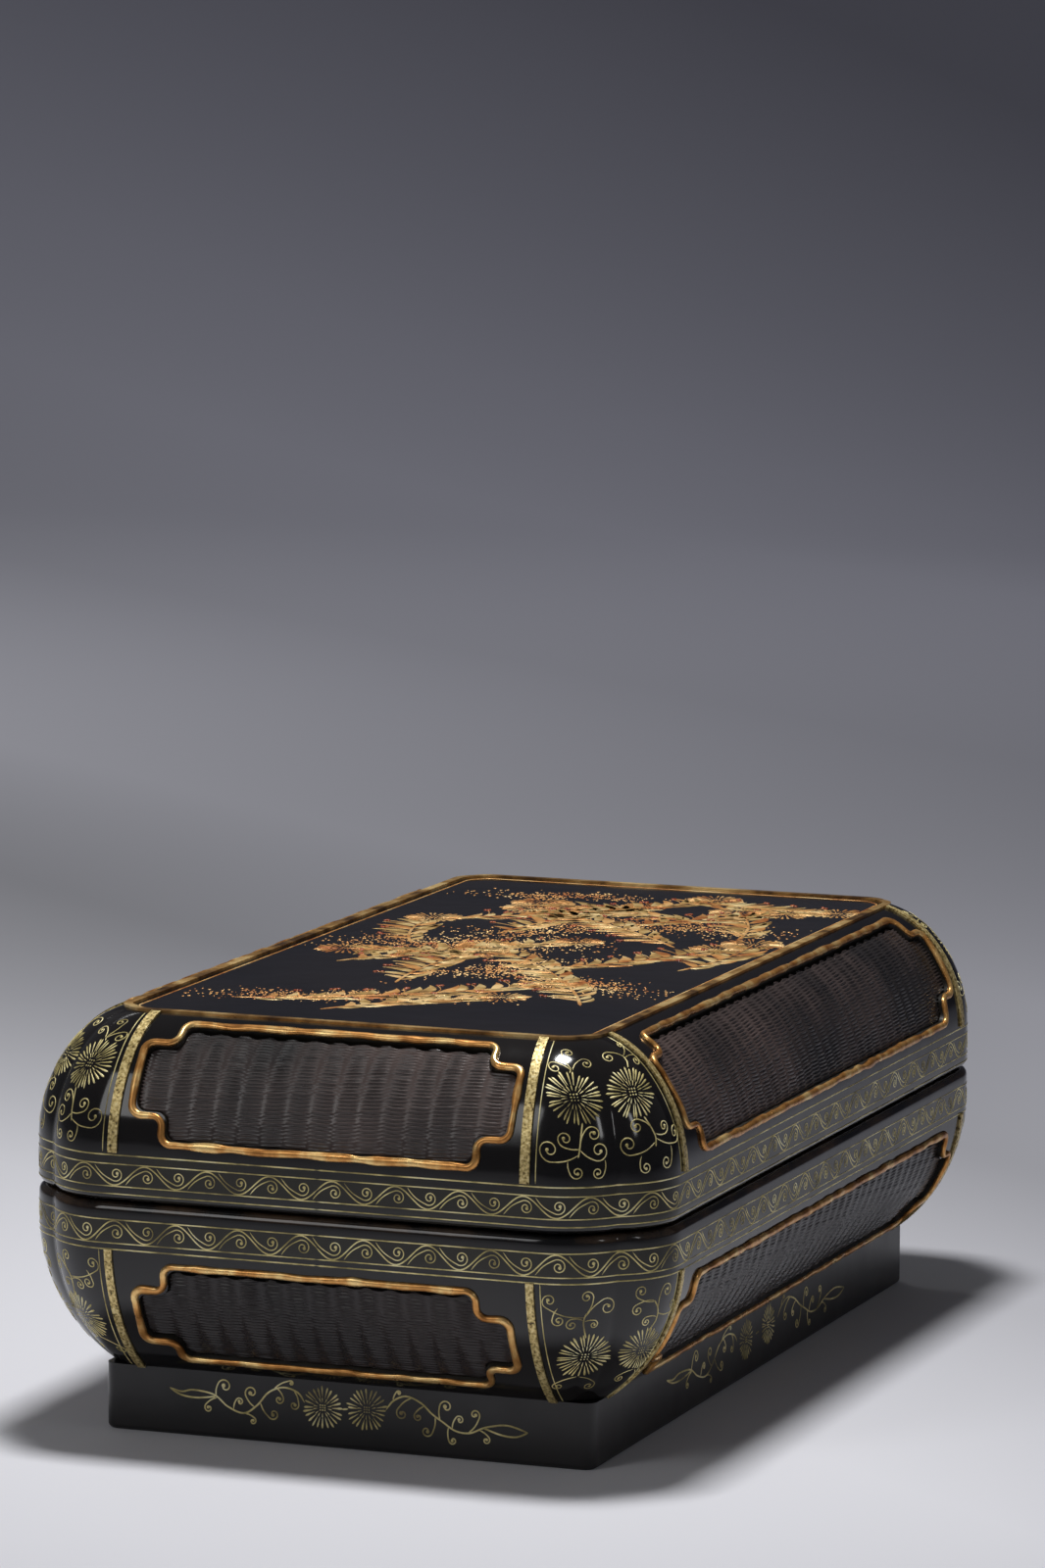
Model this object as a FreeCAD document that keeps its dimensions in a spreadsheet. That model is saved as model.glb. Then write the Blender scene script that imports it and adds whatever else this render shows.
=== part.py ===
# Lacquered writing box: a domed lid on a curved body and plinth foot, with sunk woven panels,
# raised frames and gold straps, and the inkstone, water dropper, brush tray and tools inside.
# Millimetres, +Z up, origin under the middle of the foot, +Y along the length of the box.
import FreeCAD, Part
import math
import os
import Sketcher
from FreeCAD import Placement, Rotation, Vector

doc = FreeCAD.newDocument("writing_box")
sheet = doc.addObject("Spreadsheet::Sheet", "sizes")

SIZES = (
    # whole box
    ("box_width", 150.8),
    ("box_length", 256.8),
    # foot
    ("foot_height", 15.0),
    ("foot_thickness", 8.0),
    ("foot_radius", 3.0),
    ("foot_edge", 1.2),
    # body wall: an arc from the waist up to a vertical band, with a round lip
    ("waist_inset", 17.2),
    ("wall_rise", 33.0),
    ("body_band", 7.0),
    ("body_lip", 1.8),
    ("body_wall", 4.6),
    # floor board in the bottom of the body
    ("floor_thickness", 5.0),
    ("floor_lip", 3.5),
    # collar that locates the lid
    ("collar_thickness", 2.0),
    ("collar_height", 4.0),
    ("collar_gap", 0.3),
    ("parting_gap", 0.3),
    # lid: a vertical band, then a shoulder of two arcs up to the flat top
    ("lid_band", 10.5),
    ("lid_lip", 2.2),
    ("shoulder_rise", 29.0),
    ("shoulder_lower_radius", 34.0),
    ("shoulder_upper_radius", 23.0),
    ("shoulder_break", 40.3),
    # top board, let into a rebate, and the raised edge over its joint
    ("top_thickness", 2.5),
    ("top_land", 1.2),
    ("top_ledge", 3.5),
    ("top_clearance", 0.1),
    ("edge_width", 2.0),
    ("edge_height", 0.6),
    # two-lobed corners: length of the corner at the rim, the top and the waist
    ("corner_rim", 24.5),
    ("corner_top", 8.5),
    ("corner_waist", 8.0),
    ("valley_share", 0.36),
    # sunk panels, measured along the curved wall from the end of the vertical band
    ("panel_depth", 2.2),
    ("panel_reach", 12.0),
    ("panel_step_long", 7.5),
    ("panel_step_high", 6.2),
    ("panel_radius", 2.4),
    ("lid_panel_low", 3.9),
    ("lid_panel_high", 31.8),
    ("lid_panel_end_margin", 31.9),
    ("lid_panel_side_margin", 32.4),
    ("body_panel_high", 7.3),
    ("body_panel_low", 32.2),
    ("body_panel_end_margin", 32.0),
    ("body_panel_side_margin", 29.9),
    ("bead_width", 1.4),
    ("bead_height", 0.9),
    ("weave_thickness", 1.2),
    ("weave_clearance", 0.15),
    ("seat_gap", 0.05),
    # straps beside the corners
    ("strap_height", 0.5),
    ("lid_strap_width", 2.2),
    ("lid_strap_gap", 2.5),
    ("lid_strap_start", 0.5),
    ("body_strap_width", 1.8),
    ("body_strap_gap", 1.3),
    ("body_strap_start", 3.4),
    # base board and what lies in it
    ("board_thickness", 5.0),
    ("board_clearance", 0.6),
    ("fit_clearance", 0.3),
    ("stone_width", 64.0),
    ("stone_length", 112.0),
    ("stone_height", 15.0),
    ("stone_radius", 4.0),
    ("stone_rim", 4.5),
    ("stone_face_depth", 1.5),
    ("well_length", 24.0),
    ("well_depth", 8.0),
    ("well_slope", 5.0),
    ("stone_margin", 34.4),
    ("dropper_width", 46.0),
    ("dropper_length", 34.0),
    ("dropper_height", 17.0),
    ("dropper_radius", 8.0),
    ("dropper_crown", 3.0),
    ("dropper_hole", 3.0),
    ("dropper_hole_depth", 6.0),
    ("dropper_hole_spread", 22.0),
    ("dropper_margin", 49.4),
    # tray on its two bearers
    ("bearer_top", 39.0),
    ("bearer_height", 5.0),
    ("bearer_width", 9.0),
    ("bearer_length", 84.0),
    ("tray_gap", 0.2),
    ("tray_height", 14.0),
    ("tray_play", 1.0),
    ("tray_wall", 3.0),
    ("tray_floor_thickness", 3.0),
    ("divider_thickness", 3.0),
    ("divider_place", 10.0),
    ("divider_drop", 2.0),
    # ink stick and brushes
    ("stick_width", 22.0),
    ("stick_length", 86.0),
    ("stick_height", 10.0),
    ("stick_chamfer", 1.5),
    ("stick_place", 36.0),
    ("brush_radius", 4.0),
    ("brush_handle", 150.0),
    ("brush_end", 1.2),
    ("tuft_length", 42.0),
    ("tuft_belly", 3.9),
    ("tuft_tip", 0.4),
    ("brush_spacing", 24.0),
    ("brush_place", 26.0),
    ("rest_gap", 0.1),
)
for row, (alias, value) in enumerate(SIZES, 1):
    sheet.set("A%d" % row, alias)
    sheet.set("B%d" % row, str(value))
    sheet.setAlias("B%d" % row, alias)
doc.recompute()


def size(alias):
    return float(getattr(sheet, alias))


HALF_WIDTH = size("box_width") / 2
HALF_LENGTH = size("box_length") / 2
LOFT_STEPS = 4

# Heights that several pieces share
waist_z = size("foot_height")
wall_top_z = waist_z + size("wall_rise")
body_rim_z = wall_top_z + size("body_band")
lid_rim_z = body_rim_z + size("parting_gap")
shoulder_z = lid_rim_z + size("lid_band")
top_z = shoulder_z + size("shoulder_rise")
floor_z = waist_z + size("floor_thickness")
collar_z = body_rim_z + size("collar_height")
lid_wall = size("body_wall") - size("collar_gap")

# Wall profiles. Each gives (inset, height) at an angle from the vertical band and a depth under
# the outer surface. The body's arc runs down from its band, the lid's two arcs run up from its own.
wall_radius = (size("wall_rise") ** 2 + size("waist_inset") ** 2) / (2 * size("waist_inset"))
wall_end = math.asin(size("wall_rise") / wall_radius)
lower_radius = size("shoulder_lower_radius")
upper_radius = size("shoulder_upper_radius")
shoulder_turn = math.radians(size("shoulder_break"))
upper_rise = size("shoulder_rise") - lower_radius * math.sin(shoulder_turn)
shoulder_end = math.asin(min(0.999, math.sin(shoulder_turn) + upper_rise / upper_radius))


def body_point(angle, depth=0.0):
    radius = wall_radius - depth
    return wall_radius - radius * math.cos(angle), wall_top_z - radius * math.sin(angle)


def lid_point(angle, depth=0.0):
    if angle <= shoulder_turn:
        radius = lower_radius - depth
        return lower_radius - radius * math.cos(angle), shoulder_z + radius * math.sin(angle)
    shift = lower_radius - upper_radius
    radius = upper_radius - depth
    inset = lower_radius - shift * math.cos(shoulder_turn) - radius * math.cos(angle)
    return inset, shoulder_z + shift * math.sin(shoulder_turn) + radius * math.sin(angle)


def body_angle(along):
    return along / wall_radius


def lid_angle(along):
    lower = lower_radius * shoulder_turn
    if along <= lower:
        return along / lower_radius
    return shoulder_turn + (along - lower) / upper_radius


top_inset = lid_point(shoulder_end)[0]


def body_corner(inset):
    share = inset / size("waist_inset")
    return size("corner_rim") + (size("corner_waist") - size("corner_rim")) * share


def lid_corner(inset):
    share = inset / top_inset
    return size("corner_rim") + (size("corner_top") - size("corner_rim")) * share


def rim_corner(inset):
    return size("corner_rim") - inset


# Outlines of the box at one level: four straight sides and two arcs at each corner, which meet
# in a shallow valley on the diagonal.
def outline(inset, z, corner_rule):
    half_x = HALF_WIDTH - inset
    half_y = HALF_LENGTH - inset
    corner = max(corner_rule(inset), 1.0)
    valley = size("valley_share") * corner
    reach = corner - valley
    radius = (reach ** 2 + valley ** 2) / (2 * valley)
    half_turn = math.asin(reach / radius) / 2
    side = radius * (1 - math.cos(half_turn))
    run = radius * math.sin(half_turn)
    lobes = []
    for sign_x, sign_y in ((1, 1), (-1, 1), (-1, -1), (1, -1)):
        points = [
            (half_x, half_y - corner),
            (half_x - side, half_y - corner + run),
            (half_x - valley, half_y - valley),
            (half_x - corner + run, half_y - side),
            (half_x - corner, half_y),
        ]
        points = [Vector(sign_x * x, sign_y * y, z) for x, y in points]
        if sign_x * sign_y < 0:
            points.reverse()
        lobes.append(points)
    edges = []
    for index, points in enumerate(lobes):
        edges.append(Part.Arc(points[0], points[1], points[2]).toShape())
        edges.append(Part.Arc(points[2], points[3], points[4]).toShape())
        following = lobes[(index + 1) % 4][0]
        edges.append(Part.makeLine(points[4], following))
    return Part.Wire(edges)


def slab(inset, low, high, corner_rule):
    face = Part.Face(outline(inset, low, corner_rule))
    return face.extrude(Vector(0, 0, high - low))


def ring(outer_inset, inner_inset, low, high, corner_rule):
    return slab(outer_inset, low, high, corner_rule).cut(slab(inner_inset, low, high, corner_rule))


def loft(sections, corner_rule):
    wires = [outline(inset, z, corner_rule) for inset, z in sections]
    return Part.makeLoft(wires, True, False)


def spread(start, end, steps):
    return [start + (end - start) * step / steps for step in range(steps + 1)]


def body_block(depth, low_z, high_z):
    """Solid inside the body wall at one depth, from low_z up to high_z."""
    end = math.asin(min(0.999, (wall_top_z - low_z) / (wall_radius - depth)))
    sections = [body_point(angle, depth) for angle in spread(end, 0, 2 * LOFT_STEPS)]
    band = high_z - wall_top_z
    sections += [(depth, wall_top_z + band / 2), (depth, high_z)]
    return loft(sections, lambda inset: body_corner(inset - depth) - depth)


def lid_block(depth, low_z):
    """Solid inside the lid wall at one depth, from low_z up to the end of the shoulder."""
    lower = spread(0, shoulder_turn, LOFT_STEPS)
    upper = spread(shoulder_turn, shoulder_end, LOFT_STEPS)[1:]
    sections = [(depth, low_z), (depth, (low_z + shoulder_z) / 2)]
    sections += [lid_point(angle, depth) for angle in lower + upper]
    return loft(sections, lambda inset: lid_corner(inset - depth) - depth)


def lip(edge_z, radius, direction):
    """Rounded lip that closes a rim: direction is 1 where it rises, -1 where it hangs."""
    sections = []
    for angle in spread(0, math.pi / 2, 3):
        drop = radius * (1 - math.sin(angle))
        sections.append((radius * (1 - math.cos(angle)), edge_z - direction * drop))
    return loft(sections, rim_corner)


# Pieces on the four flat sides are built about a local frame, with the vertical face of the
# rim at y = 0 and outward along -Y, and then turned and moved to their side.
SIDES = {
    "front": (0, Vector(0, -HALF_LENGTH, 0), HALF_WIDTH),
    "right": (90, Vector(HALF_WIDTH, 0, 0), HALF_LENGTH),
    "back": (180, Vector(0, HALF_LENGTH, 0), HALF_WIDTH),
    "left": (270, Vector(-HALF_WIDTH, 0, 0), HALF_LENGTH),
}


def side_placement(side):
    turn, move, _ = SIDES[side]
    return Placement(move, Rotation(Vector(0, 0, 1), turn))


def on_side(shape, side):
    placed = shape.copy()
    placed.Placement = side_placement(side)
    return placed


def profile_arcs(point, knots, depth, x):
    edges = []
    for start, end in zip(knots, knots[1:]):
        places = [point(angle, depth) for angle in (start, (start + end) / 2, end)]
        corners = [Vector(x, inset, z) for inset, z in places]
        edges.append(Part.Arc(corners[0], corners[1], corners[2]).toShape())
    return edges


def band(point, knots, shallow, deep, half_length):
    """Layer of the wall between two depths, swept straight along a flat side."""
    outer = profile_arcs(point, knots, shallow, -half_length)
    inner = profile_arcs(point, knots, deep, -half_length)
    ends = []
    for angle in (knots[0], knots[-1]):
        places = [point(angle, depth) for depth in (shallow, deep)]
        corners = [Vector(-half_length, inset, z) for inset, z in places]
        ends.append(Part.makeLine(corners[0], corners[1]))
    wire = Part.Wire(Part.__sortEdges__(outer + inner + ends))
    return Part.Face(wire).extrude(Vector(2 * half_length, 0, 0))


def cartouche(half_length, low, high, grow, point, angle_at):
    """Prism of a panel outline with stepped, rounded corners. low and high are measured along
    the wall and grow widens the outline. The prism stands square to the middle of the panel."""
    step_x = size("panel_step_long")
    step_s = size("panel_step_high")
    x = half_length + grow
    inner_x = half_length - step_x + grow
    middle_angle = angle_at((low + high) / 2)
    face, under = [Vector(0, *point(middle_angle, depth)) for depth in (0.0, 1.0)]
    inward = under - face
    base = face - inward * size("panel_reach")
    low, high = low - grow, high + grow
    corners = [
        (inner_x, low), (inner_x, low + step_s), (x, low + step_s),
        (x, high - step_s), (inner_x, high - step_s), (inner_x, high),
        (-inner_x, high), (-inner_x, high - step_s), (-x, high - step_s),
        (-x, low + step_s), (-inner_x, low + step_s), (-inner_x, low),
    ]
    radius = size("panel_radius")
    arcs = []
    for index, here in enumerate(corners):
        before = corners[index - 1]
        after = corners[(index + 1) % len(corners)]
        away = [unit(here, before), unit(here, after)]
        start = [here[axis] + radius * away[0][axis] for axis in (0, 1)]
        end = [here[axis] + radius * away[1][axis] for axis in (0, 1)]
        pull = radius * (1 - math.sqrt(0.5))
        middle = [here[axis] + pull * (away[0][axis] + away[1][axis]) for axis in (0, 1)]
        arc = [Vector(px, *point(angle_at(ps))) for px, ps in (start, middle, end)]
        arcs.append([place + inward * (base - place).dot(inward) for place in arc])
    edges = []
    for index, arc in enumerate(arcs):
        edges.append(Part.Arc(arc[0], arc[1], arc[2]).toShape())
        edges.append(Part.makeLine(arc[2], arcs[(index + 1) % len(arcs)][0]))
    return Part.Face(Part.Wire(edges)).extrude(inward * 2 * size("panel_reach"))


def unit(start, end):
    length = math.hypot(end[0] - start[0], end[1] - start[1])
    return (end[0] - start[0]) / length, (end[1] - start[1]) / length


lid_knots = (0.0, shoulder_turn, shoulder_end)
body_knots = (0.0, wall_end)

# name, profile, knots, angles for lengths along the wall, ends of the panel along the wall
WALLS = {
    "lid": (lid_point, lid_knots, lid_angle, size("lid_panel_low"), size("lid_panel_high")),
    "body": (body_point, body_knots, body_angle, size("body_panel_high"), size("body_panel_low")),
}


def panel_half(wall, side):
    kind = "end" if side in ("front", "back") else "side"
    return SIDES[side][2] - size("%s_panel_%s_margin" % (wall, kind))


def panel_layer(wall, side, shallow, deep, grow):
    point, knots, angle_at, low, high = WALLS[wall]
    half = panel_half(wall, side)
    layer = band(point, knots, shallow, deep, half + 2 * size("bead_width"))
    return layer.common(cartouche(half, low, high, grow, point, angle_at))


def recess(wall, side):
    return panel_layer(wall, side, -size("panel_depth"), size("panel_depth"), 0.0)


def weave(wall, side):
    deep = size("panel_depth") - size("seat_gap")
    shallow = size("panel_depth") - size("weave_thickness")
    return panel_layer(wall, side, shallow, deep, -size("weave_clearance"))


def bead(wall, side):
    outer = panel_layer(wall, side, -size("bead_height"), -size("seat_gap"), size("bead_width"))
    hole = panel_layer(wall, side, -2 * size("bead_height"), size("panel_depth"), 0.0)
    return outer.cut(hole)


def strap_pair(wall, side):
    """Two raised straps that follow the wall beside the corners of one side."""
    point, knots, angle_at, _, _ = WALLS[wall]
    first = angle_at(size("%s_strap_start" % wall))
    corner_rule = lid_corner if wall == "lid" else body_corner
    half_width = size("%s_strap_width" % wall) / 2
    half_side = SIDES[side][2]
    straps = []
    for sign in (-1, 1):
        wires = []
        for angle in spread(first, knots[-1], 2 * LOFT_STEPS):
            inset = point(angle)[0]
            middle = half_side - inset - corner_rule(inset) - size("%s_strap_gap" % wall)
            corners = []
            under, over = -size("seat_gap"), -size("strap_height")
            for shift, depth in ((-1, under), (1, under), (1, over), (-1, over)):
                y, z = point(angle, depth)
                corners.append(Vector(sign * middle + shift * half_width, y, z))
            wires.append(Part.makePolygon(corners + corners[:1]))
        straps.append(Part.makeLoft(wires, True, False))
    return Part.makeCompound(straps)


def feature(name, shape, placement=Placement()):
    piece = doc.addObject("Part::Feature", name)
    piece.Label = name
    piece.Shape = shape
    piece.Placement = placement


# Body shell: curved wall and round lip, hollow, open at the bottom for the floor board
lip_z = body_rim_z - size("body_lip")
body_solid = body_block(0.0, waist_z, lip_z).fuse(lip(body_rim_z, size("body_lip"), 1))
body_hollow = body_block(size("body_wall"), floor_z, body_rim_z)
floor_inset = size("waist_inset") + size("floor_lip")
floor_opening = slab(floor_inset, waist_z, floor_z, body_corner)
body_solid = body_solid.cut(body_hollow).cut(floor_opening)
for side in SIDES:
    body_solid = body_solid.cut(on_side(recess("body", side), side))
feature("body_shell", body_solid)
feature("floor_board", slab(floor_inset, waist_z, floor_z, body_corner))

# Collar inside the rim, which the lid goes over
collar_inner = size("body_wall") + size("collar_thickness")
feature("inner_rim", ring(size("body_wall"), collar_inner, wall_top_z, collar_z, rim_corner))

# Lid shell: round lip, band and shoulder, hollow, with a rebate for the top board
lid_lip_z = lid_rim_z + size("lid_lip")
lid_solid = lid_block(0.0, lid_lip_z).fuse(lip(lid_rim_z, size("lid_lip"), -1))
board_inset = top_inset + size("top_land")
hole_inset = board_inset + size("top_ledge")
rebate_z = top_z - size("top_thickness")
lid_solid = lid_solid.cut(lid_block(lid_wall, lid_rim_z))
lid_solid = lid_solid.cut(slab(hole_inset, shoulder_z, top_z, lid_corner))
lid_solid = lid_solid.cut(slab(board_inset, rebate_z, top_z, lid_corner))
for side in SIDES:
    lid_solid = lid_solid.cut(on_side(recess("lid", side), side))
feature("lid_shell", lid_solid)
feature("top_board", slab(board_inset + size("top_clearance"), rebate_z, top_z, lid_corner))
edge_inner = top_inset + size("edge_width")
feature("top_edge", ring(top_inset, edge_inner, top_z, top_z + size("edge_height"), lid_corner))

# Woven panels, their raised frames and the straps, on all four sides of the lid and the body
for wall in WALLS:
    for side in SIDES:
        place = side_placement(side)
        feature("%s_weave_%s" % (wall, side), weave(wall, side), place)
        feature("%s_frame_%s" % (wall, side), bead(wall, side), place)
        feature("%s_straps_%s" % (wall, side), strap_pair(wall, side), place)

# Two bearers for the tray, shaped to the end walls
bearer_depth = size("body_wall") + size("bearer_width")
bearer = band(body_point, body_knots, size("body_wall"), bearer_depth, size("bearer_length") / 2)
bearer_low = size("bearer_top") - size("bearer_height")
bearer = bearer.common(Part.makeBox(
    size("bearer_length"), HALF_LENGTH, size("bearer_height"),
    Vector(-size("bearer_length") / 2, 0, bearer_low),
))
feature("tray_bearers", Part.makeCompound([on_side(bearer, side) for side in ("front", "back")]))

# Lift-out tray: a frame on the box's outline and a floor let into it
tray_z = size("bearer_top") + size("tray_gap")
tray_outer = collar_inner + size("tray_play")
tray_inner = tray_outer + size("tray_wall")
tray_top_z = tray_z + size("tray_height")
tray_floor_z = tray_z + size("tray_floor_thickness")
feature("tray_frame", ring(tray_outer, tray_inner, tray_z, tray_top_z, rim_corner))
feature("tray_floor", slab(tray_inner, tray_z, tray_floor_z, rim_corner))


def rounded_block(width, length, low, high, radius, middle_y):
    """Upright block with rounded corners, centred on X at a place along Y."""
    corner = Vector(-width / 2, middle_y - length / 2, low)
    block = Part.makeBox(width, length, high - low, corner)
    upright = [edge for edge in block.Edges if edge.BoundBox.ZLength > 0.9 * (high - low)]
    return block.makeFillet(radius, upright)


# Base board on the floor, cut out for the inkstone and the water dropper
inner_radius = wall_radius - size("body_wall")
board_z = floor_z + size("board_thickness")
floor_angle = math.asin((wall_top_z - floor_z) / inner_radius)
board_edge = body_point(floor_angle, size("body_wall"))[0] + size("board_clearance")
board = slab(board_edge, floor_z, board_z, body_corner)
stone_y = HALF_LENGTH - size("stone_margin") - size("stone_length") / 2
dropper_y = size("dropper_margin") + size("dropper_length") / 2 - HALF_LENGTH
for item, place_y in (("stone", stone_y), ("dropper", dropper_y)):
    board = board.cut(rounded_block(
        size(item + "_width") + 2 * size("fit_clearance"),
        size(item + "_length") + 2 * size("fit_clearance"),
        floor_z, board_z, size(item + "_radius"), place_y,
    ))
feature("base_board", board)


# Prismatic and turned pieces are bodies with sketches bound to the sheet
def origin_plane(body, role):
    for item in body.Origin.OriginFeatures:
        if item.Role == role:
            return item
    raise ValueError(role)


def new_body(name):
    body = doc.addObject("PartDesign::Body", name)
    body.Label = name
    return body


def new_sketch(body, name, role, lift=None, shift_x=None, shift_y=None):
    sketch = body.newObject("Sketcher::SketchObject", name)
    sketch.AttachmentSupport = [(origin_plane(body, role), "")]
    sketch.MapMode = "FlatFace"
    for axis, formula in (("x", shift_x), ("y", shift_y), ("z", lift)):
        if formula:
            sketch.setExpression("AttachmentOffset.Base." + axis, formula)
    return sketch


def rectangle(sketch, width, length):
    """Rectangle centred on the sketch's origin, with its sides bound to two formulas."""
    corners = [Vector(-1, -1, 0), Vector(1, -1, 0), Vector(1, 1, 0), Vector(-1, 1, 0)]
    for index in range(4):
        sketch.addGeometry(Part.LineSegment(corners[index], corners[(index + 1) % 4]), False)
    for index in range(4):
        kind = "Horizontal" if index % 2 == 0 else "Vertical"
        sketch.addConstraint(Sketcher.Constraint("Coincident", index, 2, (index + 1) % 4, 1))
        sketch.addConstraint(Sketcher.Constraint(kind, index))
    sketch.addConstraint(Sketcher.Constraint("Symmetric", 0, 1, 1, 2, -1, 1))
    wide = sketch.addConstraint(Sketcher.Constraint("DistanceX", 0, 1, 0, 2, 10.0))
    long = sketch.addConstraint(Sketcher.Constraint("DistanceY", 1, 1, 1, 2, 10.0))
    sketch.setExpression("Constraints[%d]" % wide, width)
    sketch.setExpression("Constraints[%d]" % long, length)


def pad(body, name, sketch, length):
    piece = body.newObject("PartDesign::Pad", name)
    piece.Profile = sketch
    piece.setExpression("Length", length)
    return piece


def pocket(body, name, sketch, length, reverse):
    piece = body.newObject("PartDesign::Pocket", name)
    piece.Profile = sketch
    piece.Reversed = reverse
    piece.setExpression("Length", length)
    return piece


def vertical_edges(shape):
    names = []
    for index, edge in enumerate(shape.Edges, 1):
        ends = [vertex.Point for vertex in edge.Vertexes]
        if len(ends) == 2 and (ends[0] - ends[1]).cross(Vector(0, 0, 1)).Length < 1e-6:
            names.append("Edge%d" % index)
    return names


def edges_at(shape, height):
    names = []
    for index, edge in enumerate(shape.Edges, 1):
        box = edge.BoundBox
        if abs(box.ZMin - height) < 1e-6 and abs(box.ZMax - height) < 1e-6:
            names.append("Edge%d" % index)
    return names


def fillet(body, name, base, edges, radius):
    piece = body.newObject("PartDesign::Fillet", name)
    piece.Base = (base, edges)
    piece.setExpression("Radius", radius)
    return piece


# Foot: a plain plinth with rounded corners and lower edge, open underneath
foot = new_body("foot_frame")
foot_wide = "sizes.box_width - 2 * sizes.waist_inset"
foot_long = "sizes.box_length - 2 * sizes.waist_inset"
foot_sketch = new_sketch(foot, "foot_outline", "XY_Plane")
rectangle(foot_sketch, foot_wide, foot_long)
foot_pad = pad(foot, "foot_block", foot_sketch, "sizes.foot_height")
doc.recompute()
foot_round = fillet(foot, "foot_corners", foot_pad, vertical_edges(foot_pad.Shape), "sizes.foot_radius")
doc.recompute()
foot_soft = fillet(foot, "foot_lower_edge", foot_round, edges_at(foot_round.Shape, 0.0), "sizes.foot_edge")
foot_inside = new_sketch(foot, "foot_inside", "XY_Plane")
rectangle(
    foot_inside,
    foot_wide + " - 2 * sizes.foot_thickness",
    foot_long + " - 2 * sizes.foot_thickness",
)
pocket(foot, "foot_opening", foot_inside, "sizes.foot_height", True)

STONE_Y = "sizes.box_length / 2 - sizes.stone_margin - sizes.stone_length / 2"
DROPPER_Y = "sizes.dropper_margin + sizes.dropper_length / 2 - sizes.box_length / 2"
FLOOR_Z = "sizes.foot_height + sizes.floor_thickness"
TRAY_FLOOR_Z = "sizes.bearer_top + sizes.tray_gap + sizes.tray_floor_thickness"

# Inkstone: grinding face inside a raised rim, falling into an ink well at one end
stone = new_body("inkstone")
stone_top = FLOOR_Z + " + sizes.stone_height"
stone_sketch = new_sketch(stone, "stone_outline", "XY_Plane", FLOOR_Z, None, STONE_Y)
rectangle(stone_sketch, "sizes.stone_width", "sizes.stone_length")
stone_pad = pad(stone, "stone_block", stone_sketch, "sizes.stone_height")
doc.recompute()
stone_edges = vertical_edges(stone_pad.Shape)
stone_round = fillet(stone, "stone_corners", stone_pad, stone_edges, "sizes.stone_radius")
face_sketch = new_sketch(stone, "stone_face", "XY_Plane", stone_top, None, STONE_Y)
stone_inside = "sizes.stone_width - 2 * sizes.stone_rim"
rectangle(face_sketch, stone_inside, "sizes.stone_length - 2 * sizes.stone_rim")
pocket(stone, "stone_face_pocket", face_sketch, "sizes.stone_face_depth", False)
well_middle = "sizes.box_length / 2 - sizes.stone_margin - sizes.stone_rim - sizes.well_length / 2"
well_sketch = new_sketch(stone, "stone_well", "XY_Plane", stone_top, None, well_middle)
rectangle(well_sketch, stone_inside, "sizes.well_length")
well = pocket(stone, "stone_well_pocket", well_sketch, "sizes.well_depth", False)
doc.recompute()
hill_y = stone_y + size("stone_length") / 2 - size("stone_rim") - size("well_length")
hill_z = floor_z + size("stone_height") - size("stone_face_depth")
hill = [name for name in edges_at(well.Shape, hill_z)
        if abs(well.Shape.getElement(name).BoundBox.YMin - hill_y) < 1e-6
        and well.Shape.getElement(name).BoundBox.YLength < 1e-6]
slope = stone.newObject("PartDesign::Chamfer", "stone_slope")
slope.Base = (well, hill)
slope.setExpression("Size", "sizes.well_slope")

# Water dropper: a low rounded vessel with a filling hole and a pouring hole
dropper = new_body("water_dropper")
dropper_sketch = new_sketch(dropper, "dropper_outline", "XY_Plane", FLOOR_Z, None, DROPPER_Y)
rectangle(dropper_sketch, "sizes.dropper_width", "sizes.dropper_length")
dropper_pad = pad(dropper, "dropper_block", dropper_sketch, "sizes.dropper_height")
doc.recompute()
dropper_edges = vertical_edges(dropper_pad.Shape)
dropper_round = fillet(
    dropper, "dropper_corners", dropper_pad, dropper_edges, "sizes.dropper_radius")
doc.recompute()
dropper_z = floor_z + size("dropper_height")
crown_edges = edges_at(dropper_round.Shape, dropper_z)
fillet(dropper, "dropper_crown", dropper_round, crown_edges, "sizes.dropper_crown")
hole_z = FLOOR_Z + " + sizes.dropper_height"
hole_sketch = new_sketch(dropper, "dropper_holes", "XY_Plane", hole_z, None, DROPPER_Y)
for x in (1, -1):
    hole_sketch.addGeometry(Part.Circle(Vector(x, 0, 0), Vector(0, 0, 1), 1), False)
hole_sketch.addConstraint(Sketcher.Constraint("PointOnObject", 0, 3, -1))
hole_sketch.addConstraint(Sketcher.Constraint("Symmetric", 0, 3, 1, 3, -1, 1))
hole_sketch.addConstraint(Sketcher.Constraint("Equal", 0, 1))
spread_row = hole_sketch.addConstraint(Sketcher.Constraint("DistanceX", -1, 1, 0, 3, 5.0))
round_row = hole_sketch.addConstraint(Sketcher.Constraint("Radius", 0, 1.0))
hole_sketch.setExpression("Constraints[%d]" % spread_row, "sizes.dropper_hole_spread / 2")
hole_sketch.setExpression("Constraints[%d]" % round_row, "sizes.dropper_hole / 2")
pocket(dropper, "dropper_hole_pair", hole_sketch, "sizes.dropper_hole_depth", False)

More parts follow.
